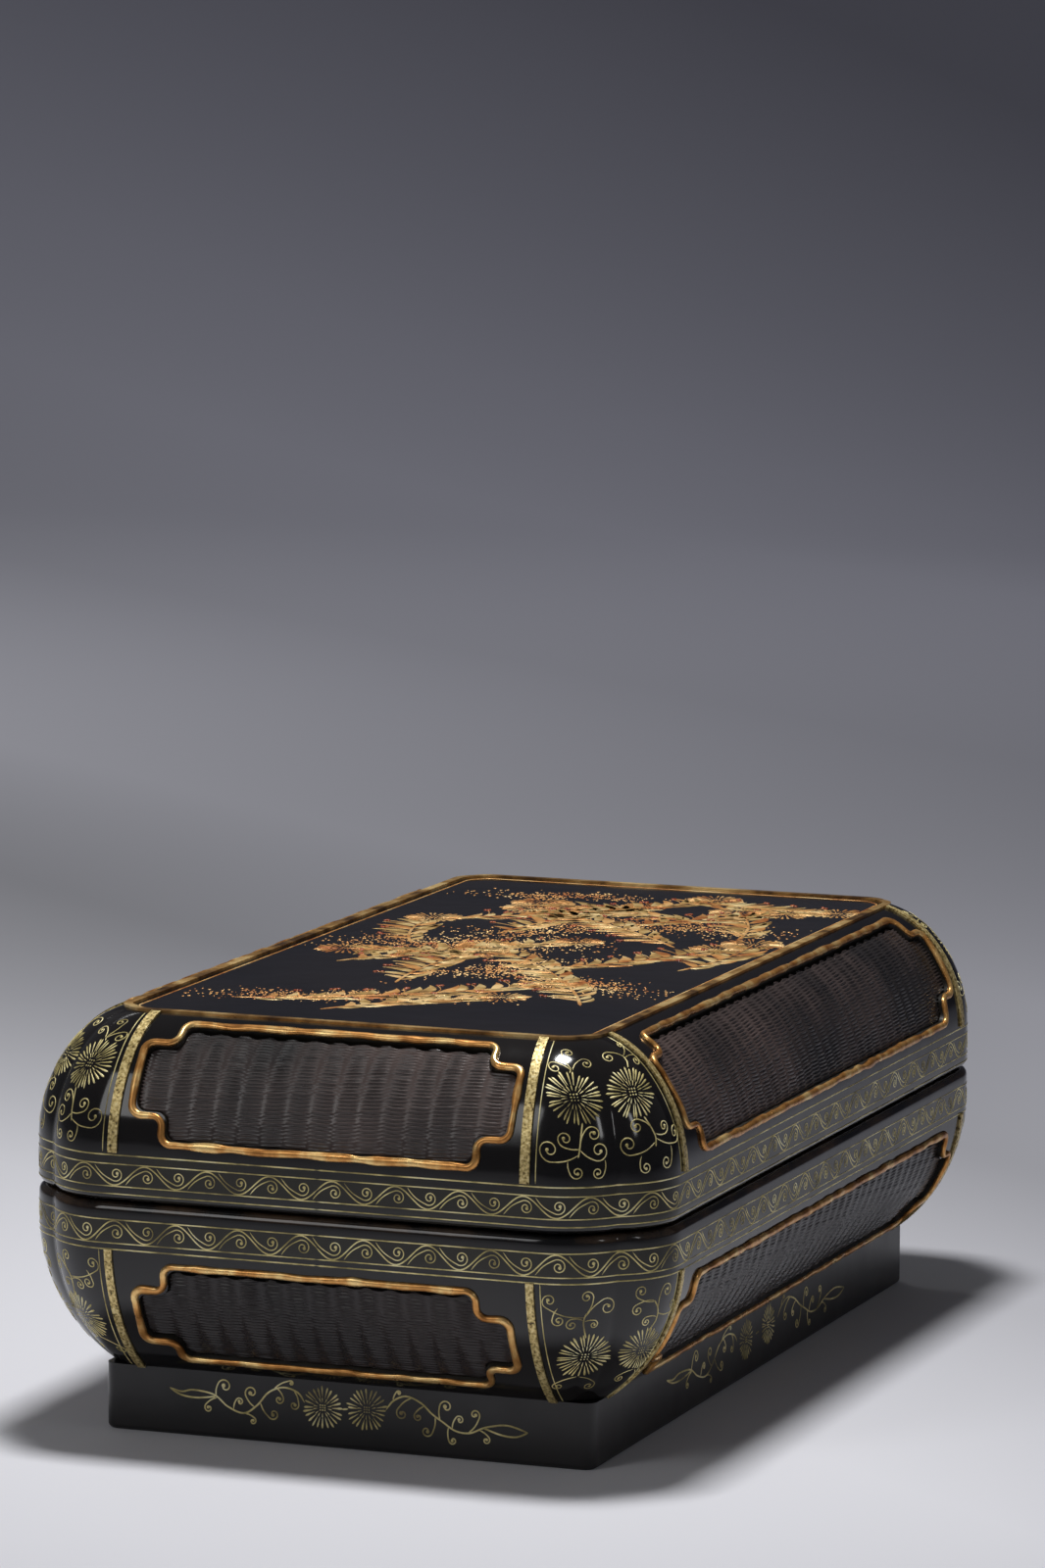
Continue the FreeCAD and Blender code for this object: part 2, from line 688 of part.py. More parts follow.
# Divider between the brushes and the ink stick
divider = doc.addObject("Part::Box", "tray_divider")
divider.Label = "tray_divider"
divider_half = "(sizes.box_length / 2 - sizes.body_wall - sizes.collar_thickness"
divider_half += " - sizes.tray_play - sizes.tray_wall)"
divider_rise = "sizes.tray_height - sizes.tray_floor_thickness - sizes.divider_drop"
divider.setExpression("Length", "sizes.divider_thickness")
divider.setExpression("Width", "2 * " + divider_half)
divider.setExpression("Height", divider_rise)
divider.setExpression("Placement.Base.x", "sizes.divider_place - sizes.divider_thickness / 2")
divider.setExpression("Placement.Base.y", "-" + divider_half)
divider.setExpression("Placement.Base.z", TRAY_FLOOR_Z)

# Ink stick with chamfered edges
stick = new_body("ink_stick")
stick_z = TRAY_FLOOR_Z + " + sizes.rest_gap"
stick_sketch = new_sketch(stick, "stick_outline", "XY_Plane", stick_z, "sizes.stick_place")
rectangle(stick_sketch, "sizes.stick_width", "sizes.stick_length")
stick_pad = pad(stick, "stick_block", stick_sketch, "sizes.stick_height")
doc.recompute()
stick_ease = stick.newObject("PartDesign::Chamfer", "stick_edges")
stick_ease.Base = (stick_pad, ["Edge%d" % (index + 1) for index in range(12)])
stick_ease.setExpression("Size", "sizes.stick_chamfer")


def profile_sketch(body, name, corners):
    """Closed profile for a turned piece: each corner's radius and height is a formula or None."""
    sketch = new_sketch(body, name, "XZ_Plane")
    count = len(corners)
    places = [Vector(1.0 + index % 3, 1.0 + index, 0) for index in range(count)]
    for index in range(count):
        sketch.addGeometry(Part.LineSegment(places[index], places[(index + 1) % count]), False)
    for index in range(count):
        sketch.addConstraint(Sketcher.Constraint("Coincident", index, 2, (index + 1) % count, 1))
    for index, (radius, height) in enumerate(corners):
        for formula, kind, axis in ((radius, "DistanceX", -2), (height, "DistanceY", -1)):
            if formula is None:
                sketch.addConstraint(Sketcher.Constraint("PointOnObject", index, 1, axis))
                continue
            row = sketch.addConstraint(Sketcher.Constraint(kind, -1, 1, index, 1, 1.0))
            sketch.setExpression("Constraints[%d]" % row, formula)
    return sketch


# Two brushes: a turned handle, and a tuft that swells and runs to a point
brush_z = TRAY_FLOOR_Z + " + sizes.rest_gap + sizes.brush_radius"
brush_half = "(sizes.brush_handle + sizes.tuft_length) / 2"
along_y = Rotation(Vector(1, 0, 0), -90)
tuft_base_y = size("brush_handle") - (size("brush_handle") + size("tuft_length")) / 2
tuft_z = tray_floor_z + size("rest_gap") + size("brush_radius")
belly = Part.BSplineCurve()
belly.interpolate([
    Vector(size("tuft_belly") * 0.85, 0, 0),
    Vector(size("tuft_belly"), 0, size("tuft_length") * 0.3),
    Vector(size("tuft_belly") * 0.6, 0, size("tuft_length") * 0.7),
    Vector(size("tuft_tip"), 0, size("tuft_length")),
])
tuft_ends = [Vector(0, 0, size("tuft_length")), Vector(0, 0, 0)]
tuft_wire = Part.Wire([
    belly.toShape(),
    Part.makeLine(belly.EndPoint, tuft_ends[0]),
    Part.makeLine(tuft_ends[0], tuft_ends[1]),
    Part.makeLine(tuft_ends[1], belly.StartPoint),
])
tuft = Part.Face(tuft_wire).revolve(Vector(0, 0, 0), Vector(0, 0, 1), 360)
for number, sign in ((1, -1), (2, 1)):
    brush_x = "-sizes.brush_place + %d * sizes.brush_spacing / 2" % sign
    handle = new_body("brush_%d_handle" % number)
    handle_sketch = profile_sketch(handle, "brush_%d_profile" % number, (
        (None, None),
        ("sizes.brush_radius - sizes.brush_end", None),
        ("sizes.brush_radius", "sizes.brush_end"),
        ("sizes.brush_radius", "sizes.brush_handle"),
        (None, "sizes.brush_handle"),
    ))
    turned = handle.newObject("PartDesign::Revolution", "brush_%d_turning" % number)
    turned.Profile = handle_sketch
    turned.ReferenceAxis = (handle_sketch, ["V_Axis"])
    handle.Placement = Placement(Vector(0, 0, 0), along_y)
    handle.setExpression("Placement.Base.x", brush_x)
    handle.setExpression("Placement.Base.y", "-" + brush_half)
    handle.setExpression("Placement.Base.z", brush_z)
    tuft_x = -size("brush_place") + sign * size("brush_spacing") / 2
    tuft_place = Placement(Vector(tuft_x, tuft_base_y, tuft_z), along_y)
    feature("brush_%d_tuft" % number, tuft, tuft_place)


# Writes every sub-part
doc.recompute()
os.makedirs("parts", exist_ok=True)
for item in doc.Objects:
    if "Invalid" in item.State or "Error" in item.State:
        raise RuntimeError("failed: " + item.Name)
for item in doc.Objects:
    if item.TypeId in ("Part::Feature", "Part::Box", "PartDesign::Body"):
        if item.Shape.isNull() or not item.Shape.isValid():
            raise RuntimeError("bad shape: " + item.Label)
        item.Shape.exportStep("parts/%s.step" % item.Label)
        print(item.Label, len(item.Shape.Solids), round(item.Shape.Volume, 1))
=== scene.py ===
# Looks for the lacquered writing box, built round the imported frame.
# Shapes are worked out in millimetres, in the frame's axes, and written to meshes in metres.
import math
import random

import bmesh
import bpy
import numpy as np
from mathutils import Matrix, Vector
from mathutils.geometry import delaunay_2d_cdt


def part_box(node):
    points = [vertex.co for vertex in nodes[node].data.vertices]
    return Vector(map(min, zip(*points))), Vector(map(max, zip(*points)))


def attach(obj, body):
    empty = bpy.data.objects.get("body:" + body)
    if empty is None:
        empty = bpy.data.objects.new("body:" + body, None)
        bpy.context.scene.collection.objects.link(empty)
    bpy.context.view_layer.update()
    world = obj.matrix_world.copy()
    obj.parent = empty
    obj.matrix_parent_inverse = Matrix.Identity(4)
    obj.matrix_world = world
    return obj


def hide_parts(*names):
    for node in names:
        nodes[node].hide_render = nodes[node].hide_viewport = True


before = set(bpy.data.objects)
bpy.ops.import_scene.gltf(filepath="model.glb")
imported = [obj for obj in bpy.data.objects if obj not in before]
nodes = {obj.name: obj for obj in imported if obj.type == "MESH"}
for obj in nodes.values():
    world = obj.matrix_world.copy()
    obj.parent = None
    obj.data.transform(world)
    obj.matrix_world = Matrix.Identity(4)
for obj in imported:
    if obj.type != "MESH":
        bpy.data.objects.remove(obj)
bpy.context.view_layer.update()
rng = random.Random(11)

# Sizes of the box, as in the CAD
HALF_X, HALF_Y = 75.4, 128.4
FOOT_Z, FOOT_X, FOOT_Y = 15.0, 58.2, 111.2
BODY_TOP, BODY_RADIUS, BODY_WALL, BODY_INSET = 48.0, 40.257, 4.6, 17.2
BODY_RIM, BODY_LIP = 55.0, 1.8
LID_RIM, LID_LIP, LID_WALL = 55.3, 2.2, 4.3
LID_TOP, SHOULDER_Z = 94.8, 65.8
LOW_RADIUS, HIGH_RADIUS, TURN = 34.0, 23.0, math.radians(40.3)
CORNER_RIM, CORNER_TOP, CORNER_WAIST, VALLEY = 24.5, 8.5, 8.0, 0.36
RECESS = 2.2
STEP_X, STEP_S, STEP_ROUND = 7.5, 6.2, 2.4
PANEL_S = {"lid": (3.9, 31.8), "body": (7.3, 32.2)}
PANEL_HALF = {"lid": {"end": 43.5, "side": 96.0}, "body": {"end": 43.4, "side": 98.5}}

# The sides in turn, with their heading and their kind, and the corner that follows each
SIDES = {"front": (0, "end"), "right": (90, "side"), "back": (180, "end"), "left": (270, "side")}
CORNERS = ((1, -1), (1, 1), (-1, 1), (-1, -1))

TURN_END = math.asin(math.sin(TURN) + (LID_TOP - SHOULDER_Z - LOW_RADIUS * math.sin(TURN)) / HIGH_RADIUS)
LID_LOWER = LOW_RADIUS * TURN
LID_END = LID_LOWER + HIGH_RADIUS * (TURN_END - TURN)
BODY_END = BODY_RADIUS * math.asin((BODY_TOP - FOOT_Z) / BODY_RADIUS)


def lid_profile(s, depth=0.0):
    """Inset, height and outward normal of the lid wall at a length s up from the band's top."""
    if s <= 0:
        return depth, SHOULDER_Z + s, 1.0, 0.0
    if s <= LID_LOWER:
        turn, radius = s / LOW_RADIUS, LOW_RADIUS - depth
        inset, height = LOW_RADIUS - radius * math.cos(turn), SHOULDER_Z + radius * math.sin(turn)
    else:
        turn, radius = TURN + (s - LID_LOWER) / HIGH_RADIUS, HIGH_RADIUS - depth
        shift = LOW_RADIUS - HIGH_RADIUS
        inset = LOW_RADIUS - shift * math.cos(TURN) - radius * math.cos(turn)
        height = SHOULDER_Z + shift * math.sin(TURN) + radius * math.sin(turn)
    return inset, height, math.cos(turn), math.sin(turn)


def body_profile(s, depth=0.0):
    """The same for the body wall, at a length s down from the band's lower end."""
    if s <= 0:
        return depth, BODY_TOP - s, 1.0, 0.0
    turn, radius = s / BODY_RADIUS, BODY_RADIUS - depth
    inset, height = BODY_RADIUS - radius * math.cos(turn), BODY_TOP - radius * math.sin(turn)
    return inset, height, math.cos(turn), -math.sin(turn)


TOP_INSET = lid_profile(LID_END)[0]
PROFILE = {"lid": lid_profile, "body": body_profile}


def corner_size(wall, inset):
    if wall == "lid":
        return CORNER_RIM + (CORNER_TOP - CORNER_RIM) * inset / TOP_INSET
    return CORNER_RIM + (CORNER_WAIST - CORNER_RIM) * inset / BODY_INSET


def lobe(corner):
    """Radius, turn and arc length of one of the two lobes of a corner."""
    valley = VALLEY * corner
    reach = corner - valley
    radius = (reach * reach + valley * valley) / (2 * valley)
    turn = math.asin(reach / radius)
    return radius, turn, radius * turn


def corner_point(sign_x, sign_y, a, inset, corner):
    """Point and normal in plan at an arc length a from a corner's valley. Positive a runs
    onto the side that faces X, negative a onto the side that faces Y."""
    half_x, half_y = HALF_X - inset, HALF_Y - inset
    radius, turn, length = lobe(corner)
    if a < 0:
        half_x, half_y = half_y, half_x
    away = abs(a)
    if away <= length:
        t = turn - away / radius
        x, y = half_x - radius + radius * math.cos(t), half_y - corner + radius * math.sin(t)
        nx, ny = math.cos(t), math.sin(t)
    else:
        x, y, nx, ny = half_x, half_y - corner - (away - length), 1.0, 0.0
    if a < 0:
        x, y, nx, ny = y, x, ny, nx
    return sign_x * x, sign_y * y, sign_x * nx, sign_y * ny


def on_corner(wall, sign_x, sign_y):
    """Mapping from (a, s) at one corner to a point and a normal on the wall."""
    def place(a, s):
        inset, z, out, up = PROFILE[wall](s)
        x, y, nx, ny = corner_point(sign_x, sign_y, a, inset, max(corner_size(wall, inset), 1.0))
        return Vector((x, y, z)), Vector((nx * out, ny * out, up))
    return place


RIM_LOBE = lobe(CORNER_RIM)[2]
FLAT_X, FLAT_Y = HALF_X - CORNER_RIM, HALF_Y - CORNER_RIM
QUARTER = FLAT_X + 2 * RIM_LOBE + FLAT_Y


def around(wall):
    """Mapping from (p, s) to the wall, with p running once round the box from the front's middle."""
    def place(p, s):
        p %= 4 * QUARTER
        quarter = min(int(p // QUARTER), 3)
        rest = p - quarter * QUARTER
        a = rest - (FLAT_X + RIM_LOBE) if quarter % 2 == 0 else (FLAT_Y + RIM_LOBE) - rest
        return on_corner(wall, *CORNERS[quarter])(a, s)
    return place


def turned(side, x, y, z):
    """Point or direction as seen on the front, turned to another side."""
    turn = math.radians(SIDES[side][0])
    return Vector((x * math.cos(turn) - y * math.sin(turn), x * math.sin(turn) + y * math.cos(turn), z))


def on_side(wall, side):
    """Mapping from (x, s, depth) on a flat side to a point and a normal. x runs to the right
    as one looks at that side."""
    half = HALF_Y if SIDES[side][1] == "end" else HALF_X

    def place(x, s, depth=0.0):
        inset, z, out, up = PROFILE[wall](s, depth)
        return turned(side, x, inset - half, z), turned(side, 0, -out, up)
    return place


# Meshes
def make_mesh(name, points, faces, material, slots=None):
    mesh = bpy.data.meshes.new(name)
    mesh.from_pydata([tuple(0.001 * v for v in p) for p in points], [], faces)
    mesh.validate()
    mesh.shade_smooth()
    obj = bpy.data.objects.new(name, mesh)
    bpy.context.scene.collection.objects.link(obj)
    for item in (material if isinstance(material, (list, tuple)) else [material]):
        mesh.materials.append(item)
    if slots is not None:
        mesh.polygons.foreach_set("material_index", slots)
    return obj


def merge(obj, distance=2e-6):
    """Joins points that lie on each other, and turns the faces outward."""
    work = bmesh.new()
    work.from_mesh(obj.data)
    bmesh.ops.remove_doubles(work, verts=work.verts, dist=distance)
    bmesh.ops.recalc_face_normals(work, faces=work.faces)
    work.to_mesh(obj.data)
    work.free()
    return obj


def loft(faces, start, rings, size, closed=False, strip=False):
    """Adds quads between rings of points that are numbered one after another from start. The last
    ring joins the first where closed, and a strip's rings are open."""
    for i in range(rings if closed else rings - 1):
        here, following = start + i * size, start + (i + 1) % rings * size
        for k in range(size - 1 if strip else size):
            n = (k + 1) % size
            faces.append((here + k, here + n, following + n, following + k))


def panel_outline(wall, kind, pitch, grow=0.0, arc_steps=7):
    """Closed outline of a sunk panel in (x, s), with stepped and rounded corners."""
    half = PANEL_HALF[wall][kind] + grow
    low, high = PANEL_S[wall][0] - grow, PANEL_S[wall][1] + grow
    inner = half - STEP_X
    corners = [(inner, low), (inner, low + STEP_S), (half, low + STEP_S),
               (half, high - STEP_S), (inner, high - STEP_S), (inner, high)]
    corners += [(-x, s) for x, s in reversed(corners)]
    points = []
    for i, here in enumerate(corners):
        after = corners[(i + 1) % len(corners)]
        to_before, to_after = np.subtract(corners[i - 1], here), np.subtract(after, here)
        to_before = to_before / np.hypot(*to_before)
        to_after = to_after / np.hypot(*to_after)
        centre = np.add(here, STEP_ROUND * (to_before + to_after))
        for k in range(arc_steps + 1):
            t = k / arc_steps * math.pi / 2
            points.append(centre - STEP_ROUND * (math.cos(t) * to_after + math.sin(t) * to_before))
        start, end = np.add(here, STEP_ROUND * to_after), np.subtract(after, STEP_ROUND * to_after)
        pieces = max(1, int(float(np.hypot(*(end - start))) / pitch))
        for k in range(1, pieces):
            points.append(start + (end - start) * k / pieces)
    return points


def inside(points, polygon):
    """Which of many (x, y) points lie inside a closed polygon."""
    points, polygon = np.asarray(points, float), np.asarray(polygon, float)
    result = np.zeros(len(points), bool)
    for here, before in zip(polygon, np.roll(polygon, 1, axis=0)):
        crosses = (here[1] > points[:, 1]) != (before[1] > points[:, 1])
        with np.errstate(divide="ignore", invalid="ignore"):
            at = (before[0] - here[0]) * (points[:, 1] - here[1]) / (before[1] - here[1]) + here[0]
        result ^= crosses & (points[:, 0] < at)
    return result


def distance_to(points, polygon):
    """Distance from each point to the nearest edge of a closed polygon."""
    points, polygon = np.asarray(points, float), np.asarray(polygon, float)
    best = np.full(len(points), 1e9)
    for start, end in zip(polygon, np.roll(polygon, -1, axis=0)):
        run = end - start
        t = np.clip(((points - start) @ run) / max(run @ run, 1e-9), 0, 1)
        best = np.minimum(best, np.hypot(*(points - start - t[:, None] * run).T))
    return best


LOBE_STEPS = 22
FLAT_STEPS = {"end": 52, "side": 104}


def ring_points(inset, z, corner):
    """One level of the box: flats and lobes in turn, starting on the front flat."""
    corner = max(corner, 1.0)
    length = lobe(corner)[2]
    points = []
    for (side, (_, kind)), (sign_x, sign_y) in zip(SIDES.items(), CORNERS):
        towards, long, wide = (1, HALF_X, HALF_Y) if kind == "end" else (-1, HALF_Y, HALF_X)
        half = long - inset - corner
        for k in range(1, FLAT_STEPS[kind]):
            along = -half + 2 * half * k / FLAT_STEPS[kind]
            points.append(tuple(turned(side, along, inset - wide, z)))
        for k in range(-LOBE_STEPS, LOBE_STEPS + 1):
            x, y, _, _ = corner_point(sign_x, sign_y, towards * length * k / LOBE_STEPS, inset, corner)
            points.append((x, y, z))
    return points


def flat_columns():
    """For each side, the first column of its flat and how many columns it has, ends included."""
    spans, column = {}, -1
    for side, (_, kind) in SIDES.items():
        spans[side] = (column, FLAT_STEPS[kind] + 1)
        column += FLAT_STEPS[kind] + 2 * LOBE_STEPS
    return spans


OUTLINE_PITCH, OUTLINE_CLEAR = 1.2, 0.55    # points on a panel's edge, and the gap kept round it
SLIVER = 1e-6                         # triangles of less than half this area are left out


def flat_with_panel(wall, side, rows, columns, points, faces, slots):
    """Adds one flat of a wall with its sunk panel: the wall round it, its floor and its edge."""
    kind = SIDES[side][1]
    place = on_side(wall, side)
    half = HALF_X if kind == "end" else HALF_Y
    grid = []
    for inset, _, corner, s in rows:
        reach = half - inset - corner
        for k in range(columns):
            grid.append((-reach + 2 * reach * k / (columns - 1), s))
    outline = panel_outline(wall, kind, OUTLINE_PITCH)
    flat = [p for p, away in zip(grid, distance_to(grid, outline)) if away >= OUTLINE_CLEAR]
    rim = len(flat)
    flat += [tuple(p) for p in outline]
    edges = [(rim + k, rim + (k + 1) % len(outline)) for k in range(len(outline))]
    coords, _, triangles, _, _, _ = delaunay_2d_cdt([Vector(p) for p in flat], edges, [], 0, 1e-5)
    coords = np.array([tuple(c) for c in coords])
    centres = np.array([coords[list(t)].mean(axis=0) for t in triangles])
    middle = inside(centres, outline)
    areas = [abs(np.cross(coords[b] - coords[a], coords[c] - coords[a])) for a, b, c in triangles]
    outer = len(points)
    points += [tuple(place(x, s)[0]) for x, s in coords]
    deep = len(points)
    points += [tuple(place(x, s, RECESS)[0]) for x, s in coords]
    for t, is_in, area in zip(triangles, middle, areas):
        if area < SLIVER:
            continue
        shift = deep if is_in else outer
        faces.append(tuple(shift + v for v in t))
        slots.append(1 if is_in else 0)
    ring = [int(np.argmin(((coords - p) ** 2).sum(axis=1))) for p in outline]
    for k, here in enumerate(ring):
        following = ring[(k + 1) % len(ring)]
        faces.append((outer + here, outer + following, deep + following, deep + here))
        slots.append(1)


def shell(name, wall, rows, panel_rows, material, ledge_material):
    """Closed shell from a loop of rows (inset, z, corner, s). Rows from panel_rows[0] to
    panel_rows[1] carry the sunk panels on the flats."""
    rings = [ring_points(inset, z, corner) for inset, z, corner, _ in rows]
    count = len(rings[0])
    points = [p for ring in rings for p in ring]
    spans = flat_columns()
    first, last = panel_rows
    skip = np.zeros((len(rows), count), bool)
    for start, columns in spans.values():
        for k in range(columns - 1):
            skip[first:last, (start + k) % count] = True
    faces = []
    loft(faces, 0, len(rows), count, closed=True)
    faces = [face for face, gone in zip(faces, skip.ravel()) if not gone]
    slots = [0] * len(faces)
    for side, (_, columns) in spans.items():
        flat_with_panel(wall, side, rows[first:last + 1], columns, points, faces, slots)
    obj = make_mesh(name, points, faces, [material, ledge_material], slots=slots)
    merge(obj)
    obj.data.set_sharp_from_angle(angle=math.radians(38))
    return obj


# Materials
def new_material(name):
    mat = bpy.data.materials.new(name)
    mat.use_nodes = True
    return mat, mat.node_tree.nodes["Principled BSDF"]


def feed(mat, node, inputs):
    """Sets inputs of a node, each to a value or to the socket that feeds it."""
    for key, value in inputs.items():
        if isinstance(value, bpy.types.NodeSocket):
            mat.node_tree.links.new(value, node.inputs[key])
        else:
            node.inputs[key].default_value = value


def add(mat, kind, inputs, **settings):
    node = mat.node_tree.nodes.new(kind)
    for key, value in settings.items():
        setattr(node, key, value)
    feed(mat, node, inputs)
    return node


def object_place(mat):
    return add(mat, "ShaderNodeTexCoord", {}).outputs["Object"]


def noise(mat, scale, detail=4.0, stretch=(1, 1, 1)):
    """Noise in object space."""
    mapping = add(mat, "ShaderNodeMapping", {"Vector": object_place(mat), "Scale": stretch})
    return add(mat, "ShaderNodeTexNoise", {
        "Vector": mapping.outputs["Vector"], "Scale": scale, "Detail": detail, "Roughness": 0.55,
    }).outputs["Fac"]


def ramp(mat, value, stops):
    """Turns a value into colours. Stops are (position, colour)."""
    node = add(mat, "ShaderNodeValToRGB", {"Fac": value})
    elements = node.color_ramp.elements
    while len(elements) < len(stops):
        elements.new(0.5)
    for element, (position, colour) in zip(elements, stops):
        element.position = position
        element.color = (*colour, 1)
    return node.outputs["Color"]


def multiply(mat, first, second):
    return add(mat, "ShaderNodeMath", {0: first, 1: second}, operation="MULTIPLY").outputs[0]


def mix(mat, share, first, second):
    """Mix of two colours. 6, 7 and 2 are the node's colour sockets."""
    node = add(mat, "ShaderNodeMix", {"Factor": share, 6: first, 7: (*second, 1)}, data_type="RGBA")
    return node.outputs[2]


def grey(value):
    return (value, value, value)


def worn(mat, scale, low, high):
    """Value that wanders between two."""
    return ramp(mat, noise(mat, scale), ((0.3, grey(low)), (0.7, grey(high))))


def bump(mat, shader, height, strength, distance):
    node = add(mat, "ShaderNodeBump", {"Height": height, "Strength": strength, "Distance": distance})
    feed(mat, shader, {"Normal": node.outputs["Normal"]})


def lacquer(name, dark, light, rough_low, rough_high):
    mat, shader = new_material(name)
    feed(mat, shader, {
        "Base Color": ramp(mat, noise(mat, 22), ((0.35, dark), (0.7, light))),
        "Roughness": ramp(mat, noise(mat, 60, 6), ((0.3, grey(rough_low)), (0.75, grey(rough_high)))),
        "IOR": 1.5,
    })
    bump(mat, shader, noise(mat, 45, 2), 0.25, 0.0008)
    return mat


def gold(name, stops, metallic, rough, scale=900, relief=0.2, stretch=(1, 1, 1)):
    mat, shader = new_material(name)
    grain = noise(mat, scale, 5, stretch)
    feed(mat, shader, {
        "Base Color": ramp(mat, grain, stops),
        "Roughness": worn(mat, scale * 0.6, rough - 0.1, rough + 0.12),
        "Metallic": metallic,
    })
    bump(mat, shader, grain, relief, 0.0002)
    return mat


BAND_EDGE = 0.0004                    # half of a tinted band's soft edge, in metres


def tint_between(mat, low, high, colour, share, wear_scale=None):
    """Mixes a colour over a band of heights, in metres, worn away by noise where a scale is given."""
    shader = mat.node_tree.nodes["Principled BSDF"]
    before = shader.inputs["Base Color"].links[0].from_socket
    height = add(mat, "ShaderNodeSeparateXYZ", {"Vector": object_place(mat)}).outputs["Z"]
    value = share
    for start, end in ((low - BAND_EDGE, low + BAND_EDGE), (high + BAND_EDGE, high - BAND_EDGE)):
        span = add(mat, "ShaderNodeMapRange", {"Value": height, "From Min": start, "From Max": end})
        value = multiply(mat, span.outputs["Result"], value)
    if wear_scale:
        wear = ramp(mat, noise(mat, wear_scale, 6), ((0.42, grey(0)), (0.6, grey(1))))
        value = multiply(mat, wear, value)
    feed(mat, shader, {"Base Color": mix(mat, value, before, colour)})


black = lacquer("black_lacquer", (0.0055, 0.0052, 0.0058), (0.012, 0.010, 0.0095), 0.07, 0.17)
# Tinted and worn bands: lowest and highest point, colour, share and scale of the wear
BANDS = (
    (0.0588, 0.0638, (0.018, 0.015, 0.007), 0.8, None), (0.0460, 0.0513, (0.018, 0.015, 0.007), 0.8, None),
    (0.0535, 0.0552, (0.085, 0.050, 0.028), 0.8, 70), (0.0560, 0.0588, (0.022, 0.019, 0.008), 0.7, 40),
    (0.0638, 0.0660, (0.024, 0.021, 0.009), 0.7, 55),
)
for band in BANDS:
    tint_between(black, *band)
ledge = lacquer("recess_lacquer", (0.010, 0.0085, 0.006), (0.022, 0.017, 0.010), 0.35, 0.55)
foot_black = lacquer("foot_lacquer", (0.0065, 0.006, 0.0065), (0.013, 0.011, 0.0105), 0.3, 0.42)

# Lid and body shells
OFF_WALL = 0.0                        # length along the wall, in rows that carry no panel
WALL_LEVELS, INNER_LEVELS = 34, 12
LID_BAND, BODY_BAND = (58.8, 60.5, 62.2, 63.8), (49.5, 51.3, 52.2)    # heights of rows on the plain bands
REBATE_INSET, REBATE_WIDTH, REBATE_DEPTH = 1.2, 3.5, 2.5    # seat of the top board

lid_rows = []
for k in range(5):
    angle = math.pi / 2 * k / 4
    inset = LID_LIP * (1 - math.sin(angle))
    lid_rows.append((inset, LID_RIM + LID_LIP * (1 - math.cos(angle)), CORNER_RIM - inset, OFF_WALL))
for z in LID_BAND:
    lid_rows.append((0.0, z, CORNER_RIM, OFF_WALL))
lid_first = len(lid_rows)
for k in range(WALL_LEVELS + 1):
    s = LID_END * k / WALL_LEVELS
    inset, z, _, _ = lid_profile(s)
    lid_rows.append((inset, z, corner_size("lid", inset), s))
lid_last = len(lid_rows) - 1
board_inset = TOP_INSET + REBATE_INSET
hole_inset = board_inset + REBATE_WIDTH
hole_bottom = lid_profile(LID_END, LID_WALL)[1]
for inset, z in ((board_inset, LID_TOP), (board_inset, LID_TOP - REBATE_DEPTH),
                 (hole_inset, LID_TOP - REBATE_DEPTH), (hole_inset, hole_bottom)):
    lid_rows.append((inset, z, corner_size("lid", inset), OFF_WALL))
for k in range(INNER_LEVELS, -1, -1):
    inset, z, _, _ = lid_profile(LID_END * k / INNER_LEVELS, LID_WALL)
    lid_rows.append((inset, z, corner_size("lid", inset - LID_WALL) - LID_WALL, OFF_WALL))
for z in (LID_RIM + 2, LID_RIM):
    lid_rows.append((LID_WALL, z, CORNER_RIM - LID_WALL, OFF_WALL))
lid_skin = shell("lid_shell_skin", "lid", lid_rows, (lid_first, lid_last), black, ledge)
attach(lid_skin, "lid")
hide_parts("lid_shell")

INNER_DROP, FLOOR_SEAT, FLOOR_Z = 28.0, 3.5, 20.0    # drop of the hollow, seat and top of the floor board
floor_inset = BODY_INSET + FLOOR_SEAT
body_rows = [(floor_inset, FOOT_Z, corner_size("body", floor_inset), OFF_WALL)]
body_first = len(body_rows)
for k in range(WALL_LEVELS, -1, -1):
    s = BODY_END * k / WALL_LEVELS
    inset, z, _, _ = body_profile(s)
    body_rows.append((inset, z, corner_size("body", inset), s))
body_last = len(body_rows) - 1
for z in BODY_BAND:
    body_rows.append((0.0, z, CORNER_RIM, OFF_WALL))
for k in range(6):
    angle = math.pi / 2 * k / 5
    inset = BODY_LIP * (1 - math.cos(angle))
    body_rows.append((inset, BODY_RIM - BODY_LIP * (1 - math.sin(angle)), CORNER_RIM - inset, OFF_WALL))
body_rows.append((BODY_WALL, BODY_RIM, CORNER_RIM - BODY_WALL, OFF_WALL))
inner_radius = BODY_RADIUS - BODY_WALL
for k in range(INNER_LEVELS + 1):
    turn = math.asin(INNER_DROP / inner_radius) * k / INNER_LEVELS
    inset = BODY_RADIUS - inner_radius * math.cos(turn)
    corner = corner_size("body", inset - BODY_WALL) - BODY_WALL
    body_rows.append((inset, BODY_TOP - inner_radius * math.sin(turn), corner, OFF_WALL))
body_rows.append((floor_inset, FLOOR_Z, corner_size("body", floor_inset), OFF_WALL))
body_skin = shell("body_shell_skin", "body", body_rows, (body_first, body_last), black, ledge)
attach(body_skin, "box")
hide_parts("body_shell")

# Woven panels
WEFT_PAIR, STAKE = 0.86, 5.6          # over-and-under pitch of the wefts, spacing of the stakes
WEAVE_DEPTH, WEAVE_SWELL, WEAVE_FOOT = 1.2, 0.55, 2.15
WEAVE_GAP = 0.15


